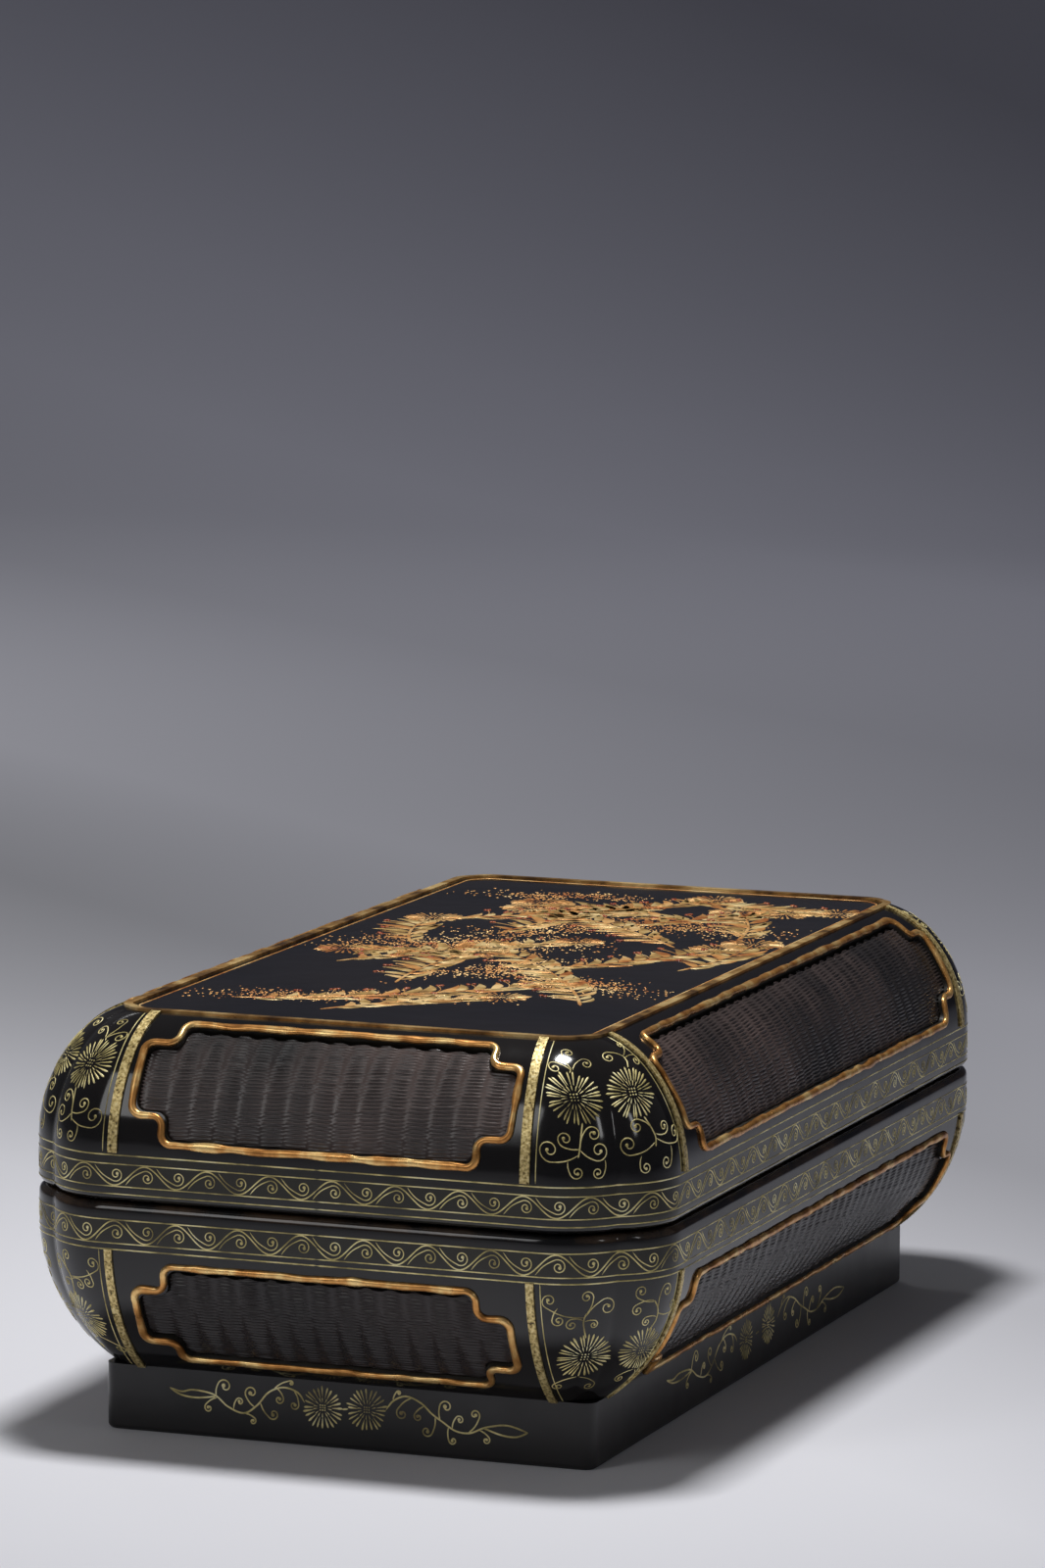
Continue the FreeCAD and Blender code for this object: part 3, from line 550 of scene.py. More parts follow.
def step_limit(wall, kind, s):
    """Half width of a sunk panel's outline at a length s along the wall."""
    half = PANEL_HALF[wall][kind] - WEAVE_GAP
    low, high = PANEL_S[wall][0] + WEAVE_GAP, PANEL_S[wall][1] - WEAVE_GAP
    from_end = np.minimum(s - low, high - s)
    above = from_end - STEP_S

    def fall(away):
        """How far a rounded corner falls back, at a distance from its end."""
        near = np.clip(STEP_ROUND - away, 0, STEP_ROUND)
        return STEP_ROUND - np.sqrt(STEP_ROUND ** 2 - near ** 2)
    return np.where(above < 0, half - STEP_X - fall(from_end) + fall(-above), half - fall(above))


def woven_panel(wall, side, material):
    """Plain weave of fine wefts over stakes, as one closed relief with its edge turned down."""
    kind = SIDES[side][1]
    half = PANEL_HALF[wall][kind]
    low, high = PANEL_S[wall][0] + WEAVE_GAP, PANEL_S[wall][1] - WEAVE_GAP
    xs = np.arange(-half - 1.4, half + 1.41, STAKE / 8)
    ss = np.arange(low, high + 0.01, WEFT_PAIR / 4)
    ss = np.concatenate(([low, low], ss[1:-1], [high, high]))
    grid_x, grid_s = np.meshgrid(xs, ss)
    foot = np.zeros(grid_x.shape, bool)
    foot[0], foot[-1] = True, True
    limit = step_limit(wall, kind, grid_s)
    beyond = np.abs(grid_x) - limit
    foot |= beyond > STAKE / 8
    stakes = np.round(grid_x / STAKE)
    drift = 0.10 * np.sin(grid_x * 0.31 + 1.7) + 0.07 * np.sin(grid_x * 0.83)
    over = np.cos(np.pi * (grid_x / STAKE - stakes))
    phase = 2 * np.pi * (grid_s + drift) / WEFT_PAIR + np.pi * stakes
    loose = 0.8 + 0.2 * np.sin(grid_s * 2.3 + stakes * 1.9) * np.sin(stakes * 2.7 + grid_s * 0.4)
    relief = WEAVE_SWELL * loose * (over * 0.5 * (1 + np.cos(phase)) + (1 - over) * 0.35)
    relief += 0.05 * np.sin(grid_x * 0.12 + 0.6) * np.sin(grid_s * 0.5)
    depth = WEAVE_DEPTH - relief
    depth[foot] = WEAVE_FOOT
    x = np.clip(grid_x, -limit, limit)
    edge = 0.5 + 0.75 * np.abs(np.sin(np.pi * x / STAKE)) ** 1.5
    s = np.minimum(grid_s, high - edge) if wall == "lid" else np.maximum(grid_s, low + edge)
    place = on_side(wall, side)
    points = [place(a, b, c)[0] for a, b, c in zip(x.ravel(), s.ravel(), depth.ravel())]
    faces = []
    loft(faces, 0, *grid_x.shape, strip=True)
    obj = make_mesh("%s_weave_%s_relief" % (wall, side), points, faces, material)
    return merge(obj, 1e-5)


# Raised frames round the panels
BEAD_HALF, BEAD_TOP, BEAD_PITCH, BEAD_SECTION = 0.88, 0.88, 0.55, 9


def wobble(count, amount, seed, smooth=6):
    """Smooth closed random sequence about 1."""
    source = np.random.default_rng(seed).normal(size=count)
    kernel = np.hanning(2 * smooth + 3)
    kernel /= kernel.sum()
    wrapped = np.concatenate((source[-len(kernel):], source, source[:len(kernel)]))
    soft = np.convolve(wrapped, kernel, mode="same")[len(kernel):-len(kernel)]
    return 1 + amount * soft / max(soft.std(), 1e-6)


def bead_loop(wall, side, material, seed):
    """Wire of gold lacquer laid round a panel, a little uneven in width, height and line."""
    line = panel_outline(wall, SIDES[side][1], BEAD_PITCH, grow=BEAD_HALF, arc_steps=6)
    count = len(line)
    width = wobble(count, 0.11, seed)
    height = np.minimum(wobble(count, 0.10, seed + 1), 1.04)
    stray = 0.07 * (wobble(count, 1.0, seed + 2, 9) - 1)
    place = on_side(wall, side)
    points, faces = [], []
    for k in range(count):
        along = line[(k + 1) % count] - line[k - 1]
        along /= np.hypot(*along)
        across = np.array((-along[1], along[0]))
        for j in range(BEAD_SECTION):
            t = math.pi * j / (BEAD_SECTION - 1)
            x, s = line[k] + across * (BEAD_HALF * width[k] * math.cos(t) + stray[k])
            rise = BEAD_TOP * height[k] * math.sin(t) ** 0.8 if 0 < j < BEAD_SECTION - 1 else -0.12
            points.append(place(x, s, -rise)[0])
    loft(faces, 0, count, BEAD_SECTION, closed=True)
    obj = make_mesh("%s_frame_%s_bead" % (wall, side), points, faces, material)
    return merge(obj, 1e-6)


# Gold line work
class Strokes:
    """Domed ribbons and dots of gold laid on a surface, gathered into one mesh."""

    def __init__(self, place):
        self.place = place
        self.points, self.faces = [], []

    def ribbon(self, line, width, taper=0.0):
        """line is a list of (u, v). Width is one value or one for each point, and taper is the
        share of the length over which each end narrows."""
        count = len(line)
        widths = list(width) if isinstance(width, (list, tuple)) else [width] * count
        path = [self.place(u, v) for u, v in line]
        start = len(self.points)
        for k, (point, normal) in enumerate(path):
            along = path[min(k + 1, count - 1)][0] - path[max(k - 1, 0)][0]
            across = along.cross(normal).normalized()
            share = min(k, count - 1 - k) / max(taper * (count - 1), 1e-6)
            half = widths[k] / 2 * min(1.0, 0.3 + 0.7 * share)
            rise = min(0.07, 0.4 * half)
            self.points += [
                point - across * half - normal * 0.05, point - across * half * 0.55 + normal * rise,
                point + across * half * 0.55 + normal * rise, point + across * half - normal * 0.05,
            ]
        loft(self.faces, start, count, 4)
        self.faces.append((start, start + 1, start + 2, start + 3))
        last = start + 4 * (count - 1)
        self.faces.append((last + 3, last + 2, last + 1, last))

    def dot(self, u, v, radius, rise=0.1, sides=8):
        point, normal = self.place(u, v)
        first = normal.orthogonal().normalized()
        second = normal.cross(first)
        start = len(self.points)
        for size, lift in ((1.0, -0.05), (0.72, 0.7 * rise)):
            for k in range(sides):
                t = 2 * math.pi * k / sides
                out = (first * math.cos(t) + second * math.sin(t)) * radius
                self.points.append(point + out * size + normal * lift)
        self.points.append(point + normal * rise)
        for k in range(sides):
            n = (k + 1) % sides
            self.faces.append((start + k, start + n, start + sides + n, start + sides + k))
            self.faces.append((start + sides + k, start + sides + n, start + 2 * sides))
        self.faces.append(tuple(start + k for k in reversed(range(sides))))

    def mesh(self, name, material):
        return make_mesh(name, self.points, self.faces, material)


def polar(centre, reach, angle):
    """Point at a distance and an angle from a centre."""
    return centre[0] + reach * math.cos(angle), centre[1] + reach * math.sin(angle)


def smooth_line(points):
    """Catmull-Rom curve through a few points, in steps of about 0.5 mm."""
    line = []
    ends = [points[0]] + list(points) + [points[-1]]
    for p0, p1, p2, p3 in zip(ends, ends[1:], ends[2:], ends[3:]):
        pieces = max(1, int(math.dist(p1, p2) / 0.5))
        for k in range(pieces):
            t = k / pieces
            line.append(tuple(0.5 * (2 * b + (c - a) * t + (2 * a - 5 * b + 4 * c - d) * t * t
                                     + (3 * b - a - 3 * c + d) * t ** 3)
                              for a, b, c, d in zip(p0, p1, p2, p3)))
    return line + [tuple(points[-1])]


def tendril(start, centre, radius, hand, turns):
    """Line that leaves a stem straight, meets a circle on its tangent and curls in."""
    dx, dy = start[0] - centre[0], start[1] - centre[1]
    distance = math.hypot(dx, dy)
    angle = math.atan2(dy, dx)
    line = []
    if distance > radius:
        angle += hand * math.acos(radius / distance)
        meet = polar(centre, radius, angle)
        pieces = max(2, int(math.dist(start, meet) / 0.6))
        for k in range(pieces):
            t = k / pieces
            lean = 0.08 * hand * math.sin(math.pi * t)
            line.append((start[0] + (meet[0] - start[0]) * t + lean * (meet[1] - start[1]),
                         start[1] + (meet[1] - start[1]) * t - lean * (meet[0] - start[0])))
    else:
        radius = distance
    steps = int(turns * 18)
    for k in range(steps + 1):
        t = k / steps
        reach = radius * (1 - 0.8 * t ** 0.9)
        line.append(polar(centre, reach, angle + hand * 2 * math.pi * turns * t))
    return line


LINE, FINE, BLOB = 0.40, 0.32, 0.45


def curl(strokes, start, centre, radius, hand, turns=1.3, width=FINE, blob=BLOB):
    """Curling line that ends in a blob."""
    line = tendril(start, centre, radius, hand, turns)
    strokes.ribbon(line, width, 0.04)
    strokes.dot(*line[-1], blob * min(1.0, 0.35 + 0.35 * radius))


def flower(strokes, centre, radius, petals=32):
    """Chrysanthemum: two rings of thin tapering petals round a stippled centre."""
    pitch = 2 * math.pi * radius / petals
    for k in range(petals):
        t = 2 * math.pi * k / petals + rng.uniform(-0.03, 0.03)
        reach = radius * rng.uniform(0.9, 1.04)
        sway = rng.uniform(-0.05, 0.05)
        most = pitch * rng.uniform(0.34, 0.5)
        line = [polar(centre, reach * f, t + sway * f) for f in (0.44, 0.56, 0.7, 0.84, 0.94, 1.0)]
        strokes.ribbon(line, [0.1, 0.4 * most, 0.65 * most, most, 0.9 * most, 0.4 * most])
    inner = petals // 2 + 2
    for k in range(inner):
        t = 2 * math.pi * (k + rng.uniform(0.3, 0.7)) / inner
        line = [polar(centre, radius * f, t) for f in (0.24, 0.33, 0.41, 0.46)]
        strokes.ribbon(line, [0.1, 0.24, 0.32, 0.16])
    for k in range(9):
        spread = 0 if k < 1 else radius * (0.11 + 0.05 * (k % 2))
        strokes.dot(*polar(centre, spread, 2 * math.pi * k / 8), rng.uniform(0.16, 0.24))


WAVE_STEPS = 22                       # points in one period of the running scroll


def wave_band(strokes, low, high, periods):
    """Running scroll between two border lines. Under each crest and over each trough a second
    line leaves the flank, runs beside it and curls in."""
    total = 4 * QUARTER
    period = total / periods
    middle, swing = (low + high) / 2, (high - low) / 2 - 0.25
    line = [(total * k / (WAVE_STEPS * periods), middle + swing * math.sin(2 * math.pi * k / WAVE_STEPS))
            for k in range(WAVE_STEPS * periods + 1)]
    strokes.ribbon(line, LINE)
    for k in range(2 * periods):
        crest = (k + 0.5) * period / 2
        sign = 1 if k % 2 == 0 else -1
        start = (crest - 0.31 * period, middle - 0.92 * sign * swing)
        centre = (crest + 0.035 * period, middle - 0.10 * sign * swing)
        curl(strokes, start, centre, 0.70 * swing + 0.12, -sign, 1.45)


# Corner scrolls in (a, s): stems, curls as start, centre, radius and hand, and flowers
CORNER_WORK = {
    "lid": {
        "stems": (
            ((-7.4, 14.0), (-8.1, 11.4), (-8.7, 8.6), (-9.3, 6.4)), ((-7.4, 25.8), (-6.8, 26.8)),
            ((7.4, 14.4), (8.8, 12.0), (9.8, 9.6), (9.6, 7.6)), ((6.8, 26.2), (7.3, 27.8), (6.9, 29.4)),
        ),
        "curls": (
            (-8.7, 8.3, -11.7, 10.5, 1.9, -1), (-9.2, 7.0, -15.4, 8.1, 2.7, -1),
            (-8.5, 9.2, -5.4, 11.4, 1.9, -1), (-8.8, 8.2, -4.5, 7.8, 2.4, 1),
            (-11.6, 5.7, -9.7, 3.3, 1.6, 1), (-3.2, 5.7, -5.0, 3.1, 1.5, -1),
            (-6.8, 26.4, -10.2, 27.2, 1.7, 1), (-6.7, 26.8, -5.8, 31.6, 1.4, -1),
            (-6.5, 26.6, -3.0, 28.1, 1.6, -1), (8.9, 11.8, 5.2, 12.3, 1.8, 1),
            (9.6, 8.6, 2.8, 8.5, 2.4, -1), (5.6, 5.9, 6.6, 3.4, 1.5, 1), (9.9, 10.4, 12.9, 11.6, 1.7, 1),
            (9.9, 9.4, 17.0, 9.7, 2.3, 1), (14.6, 7.1, 12.6, 4.0, 1.7, -1), (6.9, 29.3, 3.0, 29.5, 1.7, 1),
            (7.0, 29.5, 8.3, 32.6, 1.2, 1), (7.1, 28.8, 10.5, 27.5, 1.6, -1),
        ),
        "flowers": ((-8.0, 19.8, 6.4), (5.9, 20.2, 6.3)),
    },
    "body": {
        "stems": (
            ((-6.2, 16.4), (-7.0, 14.0), (-7.4, 12.0), (-7.0, 10.2)),
            ((9.0, 16.2), (10.8, 13.8), (11.0, 11.0), (9.6, 8.6)),
        ),
        "curls": (
            (-7.3, 11.2, -15.4, 7.2, 1.8, 1), (-13.4, 8.9, -12.9, 11.9, 1.5, -1),
            (-7.5, 11.9, -9.9, 12.9, 1.5, -1), (-7.0, 10.4, -7.2, 6.4, 1.6, -1),
            (-7.2, 12.2, -5.0, 13.0, 1.1, 1), (-7.0, 10.9, -2.2, 9.0, 2.3, 1),
            (9.8, 8.8, 5.9, 6.2, 1.7, 1), (9.4, 8.5, 5.3, 10.5, 1.5, -1), (10.9, 12.8, 8.0, 13.6, 1.3, -1),
            (11.0, 10.6, 13.4, 6.8, 1.9, 1), (11.0, 11.8, 16.4, 10.8, 1.8, -1),
            (-5.8, 27.8, -8.8, 31.4, 1.4, -1), (-5.2, 27.9, -1.9, 31.4, 1.6, 1),
            (8.4, 27.4, 5.2, 29.8, 1.4, -1), (8.8, 27.4, 9.8, 31.0, 1.2, 1),
        ),
        "flowers": ((-5.4, 21.6, 6.5), (8.7, 21.4, 6.2)),
    },
}
# Running scroll: lowest and highest s, and its periods; and the level lines, as s and width
WAVE = {"lid": (-7.0, -2.0, 52), "body": (-3.3, 2.0, 52)}
LEVELS = {"lid": ((-8.7, 0.3), (-7.0, 0.34), (-2.0, 0.34), (0.0, 0.4)),
          "body": ((-3.3, 0.36), (2.0, 0.34), (3.4, 0.4))}
LEVEL_PITCH = 0.9
# Fine line beside each strap: how far outside the lobes, and its ends
COMPANION = {"lid": (0.1, 0.6, 36.2), "body": (-1.0, 3.6, 38.2)}


def wall_work(wall):
    strokes = Strokes(around(wall))
    low, high, periods = WAVE[wall]
    wave_band(strokes, low, high, periods)
    count = int(4 * QUARTER / LEVEL_PITCH)
    for s, width in LEVELS[wall]:
        strokes.ribbon([(4 * QUARTER * k / count, s) for k in range(count + 1)], width)
    for sign_x, sign_y in CORNERS:
        strokes.place = on_corner(wall, sign_x, sign_y)
        work = CORNER_WORK[wall]
        for stem in work["stems"]:
            strokes.ribbon(smooth_line(stem), LINE, 0.05)
        for a, s, to_a, to_s, radius, hand in work["curls"]:
            curl(strokes, (a, s), (to_a, to_s), radius, hand)
        for a, s, radius in work["flowers"]:
            flower(strokes, (a, s), radius)
        away, first, last = COMPANION[wall]
        levels = [first + (last - first) * k / 48 for k in range(49)]
        reaches = [lobe(max(corner_size(wall, PROFILE[wall](s)[0]), 1.0))[2] + away for s in levels]
        for sign in (-1, 1):
            strokes.ribbon([(sign * reach, s) for reach, s in zip(reaches, levels)], 0.3)
    return strokes


# Foot scroll in (x, z) on the front, drawn wider apart on the long sides
FOOT_WORK = {
    "stems": (
        ((-42.2, 10.6), (-39.4, 9.9), (-36.5, 10.5), (-31.5, 9.8), (-28.2, 7.4), (-24.4, 6.2), (-21.2, 8.2),
         (-18.4, 11.4), (-14.8, 12.8), (-11.4, 11.9), (-9.8, 9.8)),
        ((-42.2, 10.6), (-39.6, 9.2), (-35.8, 8.8), (-31.2, 9.4)),
        ((9.6, 9.8), (11.4, 12.0), (14.4, 13.2), (17.8, 12.0), (20.4, 9.8), (22.9, 8.2), (26.0, 6.4),
         (29.4, 6.2), (33.2, 7.8), (38.2, 8.6), (43.0, 7.4)),
        ((32.6, 7.6), (36.6, 6.4), (40.2, 6.2), (43.0, 7.4)),
        ((-0.9, 9.0), (0.6, 9.2)),
    ),
    "curls": (
        (-31.0, 9.5, -28.9, 11.9, 1.8, -1), (-30.8, 9.2, -32.8, 6.7, 1.1, 1),
        (-26.8, 6.8, -25.3, 8.7, 1.0, -1), (-21.6, 7.7, -22.5, 11.0, 1.7, -1),
        (-20.4, 9.0, -17.2, 6.6, 1.4, 1), (-24.4, 6.2, -22.2, 4.6, 0.9, -1),
        (-16.6, 12.6, -15.9, 10.0, 1.2, -1), (-12.4, 12.4, -12.3, 9.0, 1.2, -1),
        (-17.2, 12.2, -13.0, 13.9, 0.6, -1), (15.8, 13.0, 13.4, 9.2, 1.5, 1),
        (11.2, 11.8, 12.6, 13.8, 0.6, -1), (18.8, 11.4, 17.2, 8.8, 1.1, 1),
        (21.2, 9.2, 19.2, 5.8, 1.4, -1), (22.4, 8.5, 23.8, 11.6, 1.6, -1), (25.2, 6.8, 27.0, 8.9, 1.1, -1),
        (29.0, 6.2, 30.5, 10.4, 1.3, 1), (24.4, 7.2, 25.4, 4.2, 1.0, 1), (31.6, 7.0, 33.2, 4.9, 1.0, -1),
    ),
    "flowers": ((-5.5, 9.0, 4.9), (5.0, 9.4, 4.9)),
}
FOOT_LINE, FOOT_CURL = 0.52, (1.05, 0.42, 0.6)    # width of the stems; turns, width and blob of the curls
SIDE_WORK = 1.5                       # the scroll's width on the long sides against the ends


def foot_face(side):
    """Mapping from (u, z) on one face of the foot."""
    reach = FOOT_Y if SIDES[side][1] == "end" else FOOT_X

    def place(u, z):
        return turned(side, u, -reach, z), turned(side, 0, -1, 0)
    return place


def foot_work():
    strokes = Strokes(None)
    for side, (_, kind) in SIDES.items():
        strokes.place = foot_face(side)
        wide = 1.0 if kind == "end" else SIDE_WORK
        for stem in FOOT_WORK["stems"]:
            strokes.ribbon(smooth_line([(u * wide, z) for u, z in stem]), FOOT_LINE, 0.04)
        for u, z, to_u, to_z, radius, hand in FOOT_WORK["curls"]:
            curl(strokes, (u * wide, z), (to_u * wide, to_z), radius, hand, *FOOT_CURL)
        for u, z, radius in FOOT_WORK["flowers"]:
            flower(strokes, (u * wide, z), radius, 24)
    return strokes


# Top of the lid
TOP_X, TOP_Y = HALF_X - TOP_INSET, HALF_Y - TOP_INSET
TOP_LINE = 3.4                        # inner line, in from the raised edge
STEM_STEP = 2.2
# Sprays: foot of the stem, heading in degrees, length, bend in degrees
SPRAYS = (
    (-38, -84, 20, 76, 34), (-14, -92, 58, 44, -30), (38, -66, 112, 92, 26), (-36, -28, 62, 66, -28),
    (30, 20, 128, 72, 24), (-38, 42, 30, 76, 30), (4, 92, -22, 48, 26), (42, -12, 74, 44, 24),
    (-12, -52, 100, 52, -24), (12, -20, 42, 52, 30), (-16, 24, 84, 58, -26), (22, 58, 150, 50, 22),
    (-30, 4, 118, 40, -30), (40, 36, 96, 44, 26), (-4, -10, 168, 38, 24), (8, 46, 58, 46, -22),
)
# Drifts of sprinkled dots: middle, half length, half width, heading in degrees, dots
DRIFTS = (
    (-18, -74, 36, 8, 12, 560), (26, -38, 32, 10, -16, 560), (-20, 6, 38, 12, 10, 760),
    (22, 50, 36, 12, -10, 700), (-22, 86, 28, 7, 8, 380), (-6, 34, 30, 12, 40, 520),
    (4, -22, 26, 9, 60, 420),
)


def on_top(x, y):
    return Vector((x, y, LID_TOP)), Vector((0, 0, 1))


def leaf(strokes, u, v, heading, length, width):
    """Pointed leaf with a slight sway."""
    line, widths = [], []
    for k in range(8):
        t = k / 7
        turn = heading + 0.5 * (t - 0.5)
        line.append(polar((u, v), length * t, turn))
        widths.append(0.12 + width * math.sin(math.pi * t ** 0.8) ** 1.2)
    strokes.ribbon(line, widths)


def spray(stems, leaves, buds, u, v, heading, length, bend):
    """Leafy stem with a flower at its tip, side shoots and berries."""
    heading, bend = math.radians(heading), math.radians(bend)
    count = int(length / STEM_STEP)
    line = [(u, v)]
    for k in range(count):
        turn = heading + bend * k / count
        line.append(polar(line[-1], STEM_STEP, turn))
    stems.ribbon(line, [1.1 - 0.6 * k / count for k in range(count + 1)])
    for k in range(2, count - 2):
        turn = heading + bend * k / count
        hand = 1 if k % 2 else -1
        share = math.sin(math.pi * k / count)
        leaf(leaves if k % 3 else stems, *line[k], turn + hand * rng.uniform(0.5, 0.9),
             (5.5 + 5.5 * share) * rng.uniform(0.8, 1.15), 1.9 + 1.7 * share)
        if k % 4 == 1:
            reach = rng.uniform(7.5, 10.5)
            side = turn + hand * 1.2
            x, y = line[k]
            tip = polar((x, y), reach, side)
            stems.ribbon(smooth_line([(x, y), ((x + tip[0]) / 2 + 0.8, (y + tip[1]) / 2), tip]), 0.3)
            for _ in range(3):
                x, y = tip[0] + rng.uniform(-0.9, 0.9), tip[1] + rng.uniform(-0.9, 0.9)
                buds.dot(x, y, rng.uniform(0.45, 0.7), 0.25)
    flower(stems, line[-1], rng.uniform(6.0, 8.0), 24)


def top_work():
    stems, leaves, buds, dust = (Strokes(on_top) for _ in range(4))
    inset = TOP_INSET + TOP_LINE
    ring = [(x, y) for x, y, _ in ring_points(inset, LID_TOP, corner_size("lid", inset))]
    stems.ribbon(ring + ring[:1], 0.5)
    for item in SPRAYS:
        spray(stems, leaves, buds, *item)
    for x, y, long, wide, heading, count in DRIFTS:
        turn = math.radians(heading)
        for _ in range(count):
            along = rng.gauss(0, 0.42) * long
            across = rng.gauss(0, 0.45) * wide + 0.18 * wide * math.sin(along * 0.25)
            u = x + along * math.cos(turn) - across * math.sin(turn)
            v = y + along * math.sin(turn) + across * math.cos(turn)
            if abs(u) < TOP_X - 5 and abs(v) < TOP_Y - 5:
                dust.dot(u, v, rng.uniform(0.16, 0.5), 0.06, 6)
    return stems, leaves, buds, dust


# Hair of the brushes
HAIRS, HAIR_STEPS = 260, 9
CORE_RINGS, CORE_SIDES = 25, 28
TUFT_BELLY, TUFT_TIP = 3.9, 0.4


def hair_tuft(number, material):
    """Bundle of fine hairs over a core, swelling from the handle and running to a point."""
    low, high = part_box("brush_%d_tuft" % number)
    base, length = 1000 * low.y, 1000 * (high.y - low.y)
    x, z = 500 * (low.x + high.x), 500 * (low.z + high.z)

    def radius(t):
        keys = ((0, 0.85), (0.3, 1.0), (0.7, 0.6), (1.0, TUFT_TIP / TUFT_BELLY))
        for (t0, r0), (t1, r1) in zip(keys, keys[1:]):
            if t <= t1:
                f = (t - t0) / (t1 - t0)
                return TUFT_BELLY * (r0 + (r1 - r0) * (3 * f * f - 2 * f ** 3))
        return TUFT_TIP

    points, faces = [], []
    for k in range(CORE_RINGS):
        t = k / (CORE_RINGS - 1)
        r = radius(t) * (0.93 if t < 1 else 0.4)
        for j in range(CORE_SIDES):
            a = 2 * math.pi * j / CORE_SIDES
            points.append((x + r * math.cos(a), base + length * t * 0.985, z + r * math.sin(a)))
    loft(faces, 0, CORE_RINGS, CORE_SIDES)
    faces.append(tuple(reversed(range(CORE_SIDES))))
    faces.append(tuple(range(len(points) - CORE_SIDES, len(points))))
    for _ in range(HAIRS):
        a, spin = rng.uniform(0, 2 * math.pi), rng.uniform(-0.25, 0.25)
        start, end = rng.uniform(0.0, 0.35), rng.uniform(0.7, 1.0)
        first = len(points)
        for k in range(HAIR_STEPS):
            f = k / (HAIR_STEPS - 1)
            t = start + (end - start) * f
            c, sn = math.cos(a + spin * t), math.sin(a + spin * t)
            r = radius(t) * (0.90 + 0.09 * math.sin(math.pi * f))
            thick = 0.13 * (1 - 0.75 * f)
            centre = Vector((x + r * c, base + length * t, z + r * sn))
            outward, across = Vector((c, 0, sn)) * thick, Vector((-sn, 0, c)) * thick
            points += [centre + across, centre + outward, centre - across]
        loft(faces, first, HAIR_STEPS, 3)
        faces.append((first + 2, first + 1, first))
        faces.append(tuple(range(len(points) - 3, len(points))))
    return make_mesh("brush_%d_hair" % number, points, faces, material)


# Materials for the nodes kept
strap_gold = gold("strap_gold", (
    (0.34, (0.05, 0.035, 0.012)), (0.43, (0.42, 0.30, 0.10)), (0.58, (0.78, 0.62, 0.28)),
    (0.75, (0.92, 0.82, 0.5)),
), 0.5, 0.38, scale=1400, relief=0.5)
bead_gold = gold("bead_gold", (
    (0.34, (0.36, 0.14, 0.03)), (0.5, (0.66, 0.32, 0.09)), (0.66, (0.95, 0.66, 0.27)),
), 0.7, 0.3, scale=190, relief=0.3)
line_gold = gold("line_gold", (
    (0.36, (0.24, 0.19, 0.065)), (0.48, (0.58, 0.48, 0.18)), (0.58, (0.90, 0.77, 0.36)),
    (0.7, (1.0, 0.93, 0.56)),
), 0.1, 0.38, scale=130, relief=0.1)
warm_gold = gold("warm_gold", (
    (0.36, (0.42, 0.14, 0.035)), (0.5, (0.72, 0.36, 0.11)), (0.66, (0.95, 0.66, 0.3)),
), 0.4, 0.36, scale=120, relief=0.2)
edge_gold = gold("edge_gold", (
    (0.38, (0.10, 0.05, 0.015)), (0.5, (0.40, 0.22, 0.065)), (0.64, (0.82, 0.58, 0.25)),
), 0.6, 0.34, scale=90, relief=0.2)
leaf_gold = gold("leaf_gold", (
    (0.36, (0.22, 0.11, 0.03)), (0.5, (0.52, 0.33, 0.11)), (0.66, (0.86, 0.66, 0.32)),
), 0.35, 0.42, scale=150, relief=0.2)
cinnabar = lacquer("cinnabar_lacquer", (0.22, 0.035, 0.012), (0.40, 0.10, 0.030), 0.25, 0.4)


def flecked(name, ground, fleck, scale, share, rough, metallic=0.7):
    """Dark ground with small flakes of another colour."""
    mat, shader = new_material(name)
    voronoi = add(mat, "ShaderNodeTexVoronoi", {"Vector": object_place(mat), "Scale": scale})
    cells = voronoi.outputs["Distance"]
    pick = ramp(mat, cells, ((share, grey(1)), (share + 0.06, grey(0))))
    base = ramp(mat, noise(mat, scale / 12), ((0.3, ground), (0.75, tuple(1.6 * v for v in ground))))
    feed(mat, shader, {
        "Base Color": mix(mat, pick, base, fleck),
        "Metallic": multiply(mat, pick, metallic),
        "Roughness": worn(mat, scale / 20, rough - 0.06, rough + 0.08),
    })
    bump(mat, shader, cells, 0.08, 0.0002)
    return mat


sprinkled = flecked("sprinkled_lacquer", (0.012, 0.008, 0.005), (0.62, 0.42, 0.16), 900, 0.2, 0.25)
slate = flecked("slate_stone", (0.035, 0.036, 0.042), (0.085, 0.085, 0.09), 1400, 0.16, 0.5, 0.0)
bronze = gold("patinated_bronze", (
    (0.34, (0.05, 0.075, 0.055)), (0.5, (0.17, 0.12, 0.06)), (0.68, (0.36, 0.24, 0.11)),
), 0.8, 0.4, scale=110, relief=0.3)
ink = gold("pressed_ink", (
    (0.3, (0.008, 0.008, 0.010)), (0.7, (0.022, 0.021, 0.024)),
), 0.0, 0.48, scale=380, relief=0.25)
bamboo = gold("bamboo_cane", (
    (0.3, (0.30, 0.17, 0.06)), (0.55, (0.52, 0.34, 0.14)), (0.75, (0.62, 0.44, 0.21)),
), 0.0, 0.36, scale=420, relief=0.15, stretch=(1, 0.05, 1))
hair = gold("brush_hair", (
    (0.3, (0.24, 0.15, 0.08)), (0.55, (0.46, 0.33, 0.20)), (0.75, (0.62, 0.5, 0.34)),
), 0.0, 0.55, scale=700, relief=0.2, stretch=(1, 0.06, 1))
weave_dark = lacquer("weave_lacquer", (0.024, 0.021, 0.021), (0.110, 0.078, 0.070), 0.22, 0.34)
feed(weave_dark, weave_dark.node_tree.nodes["Principled BSDF"], {"Specular IOR Level": 0.36})
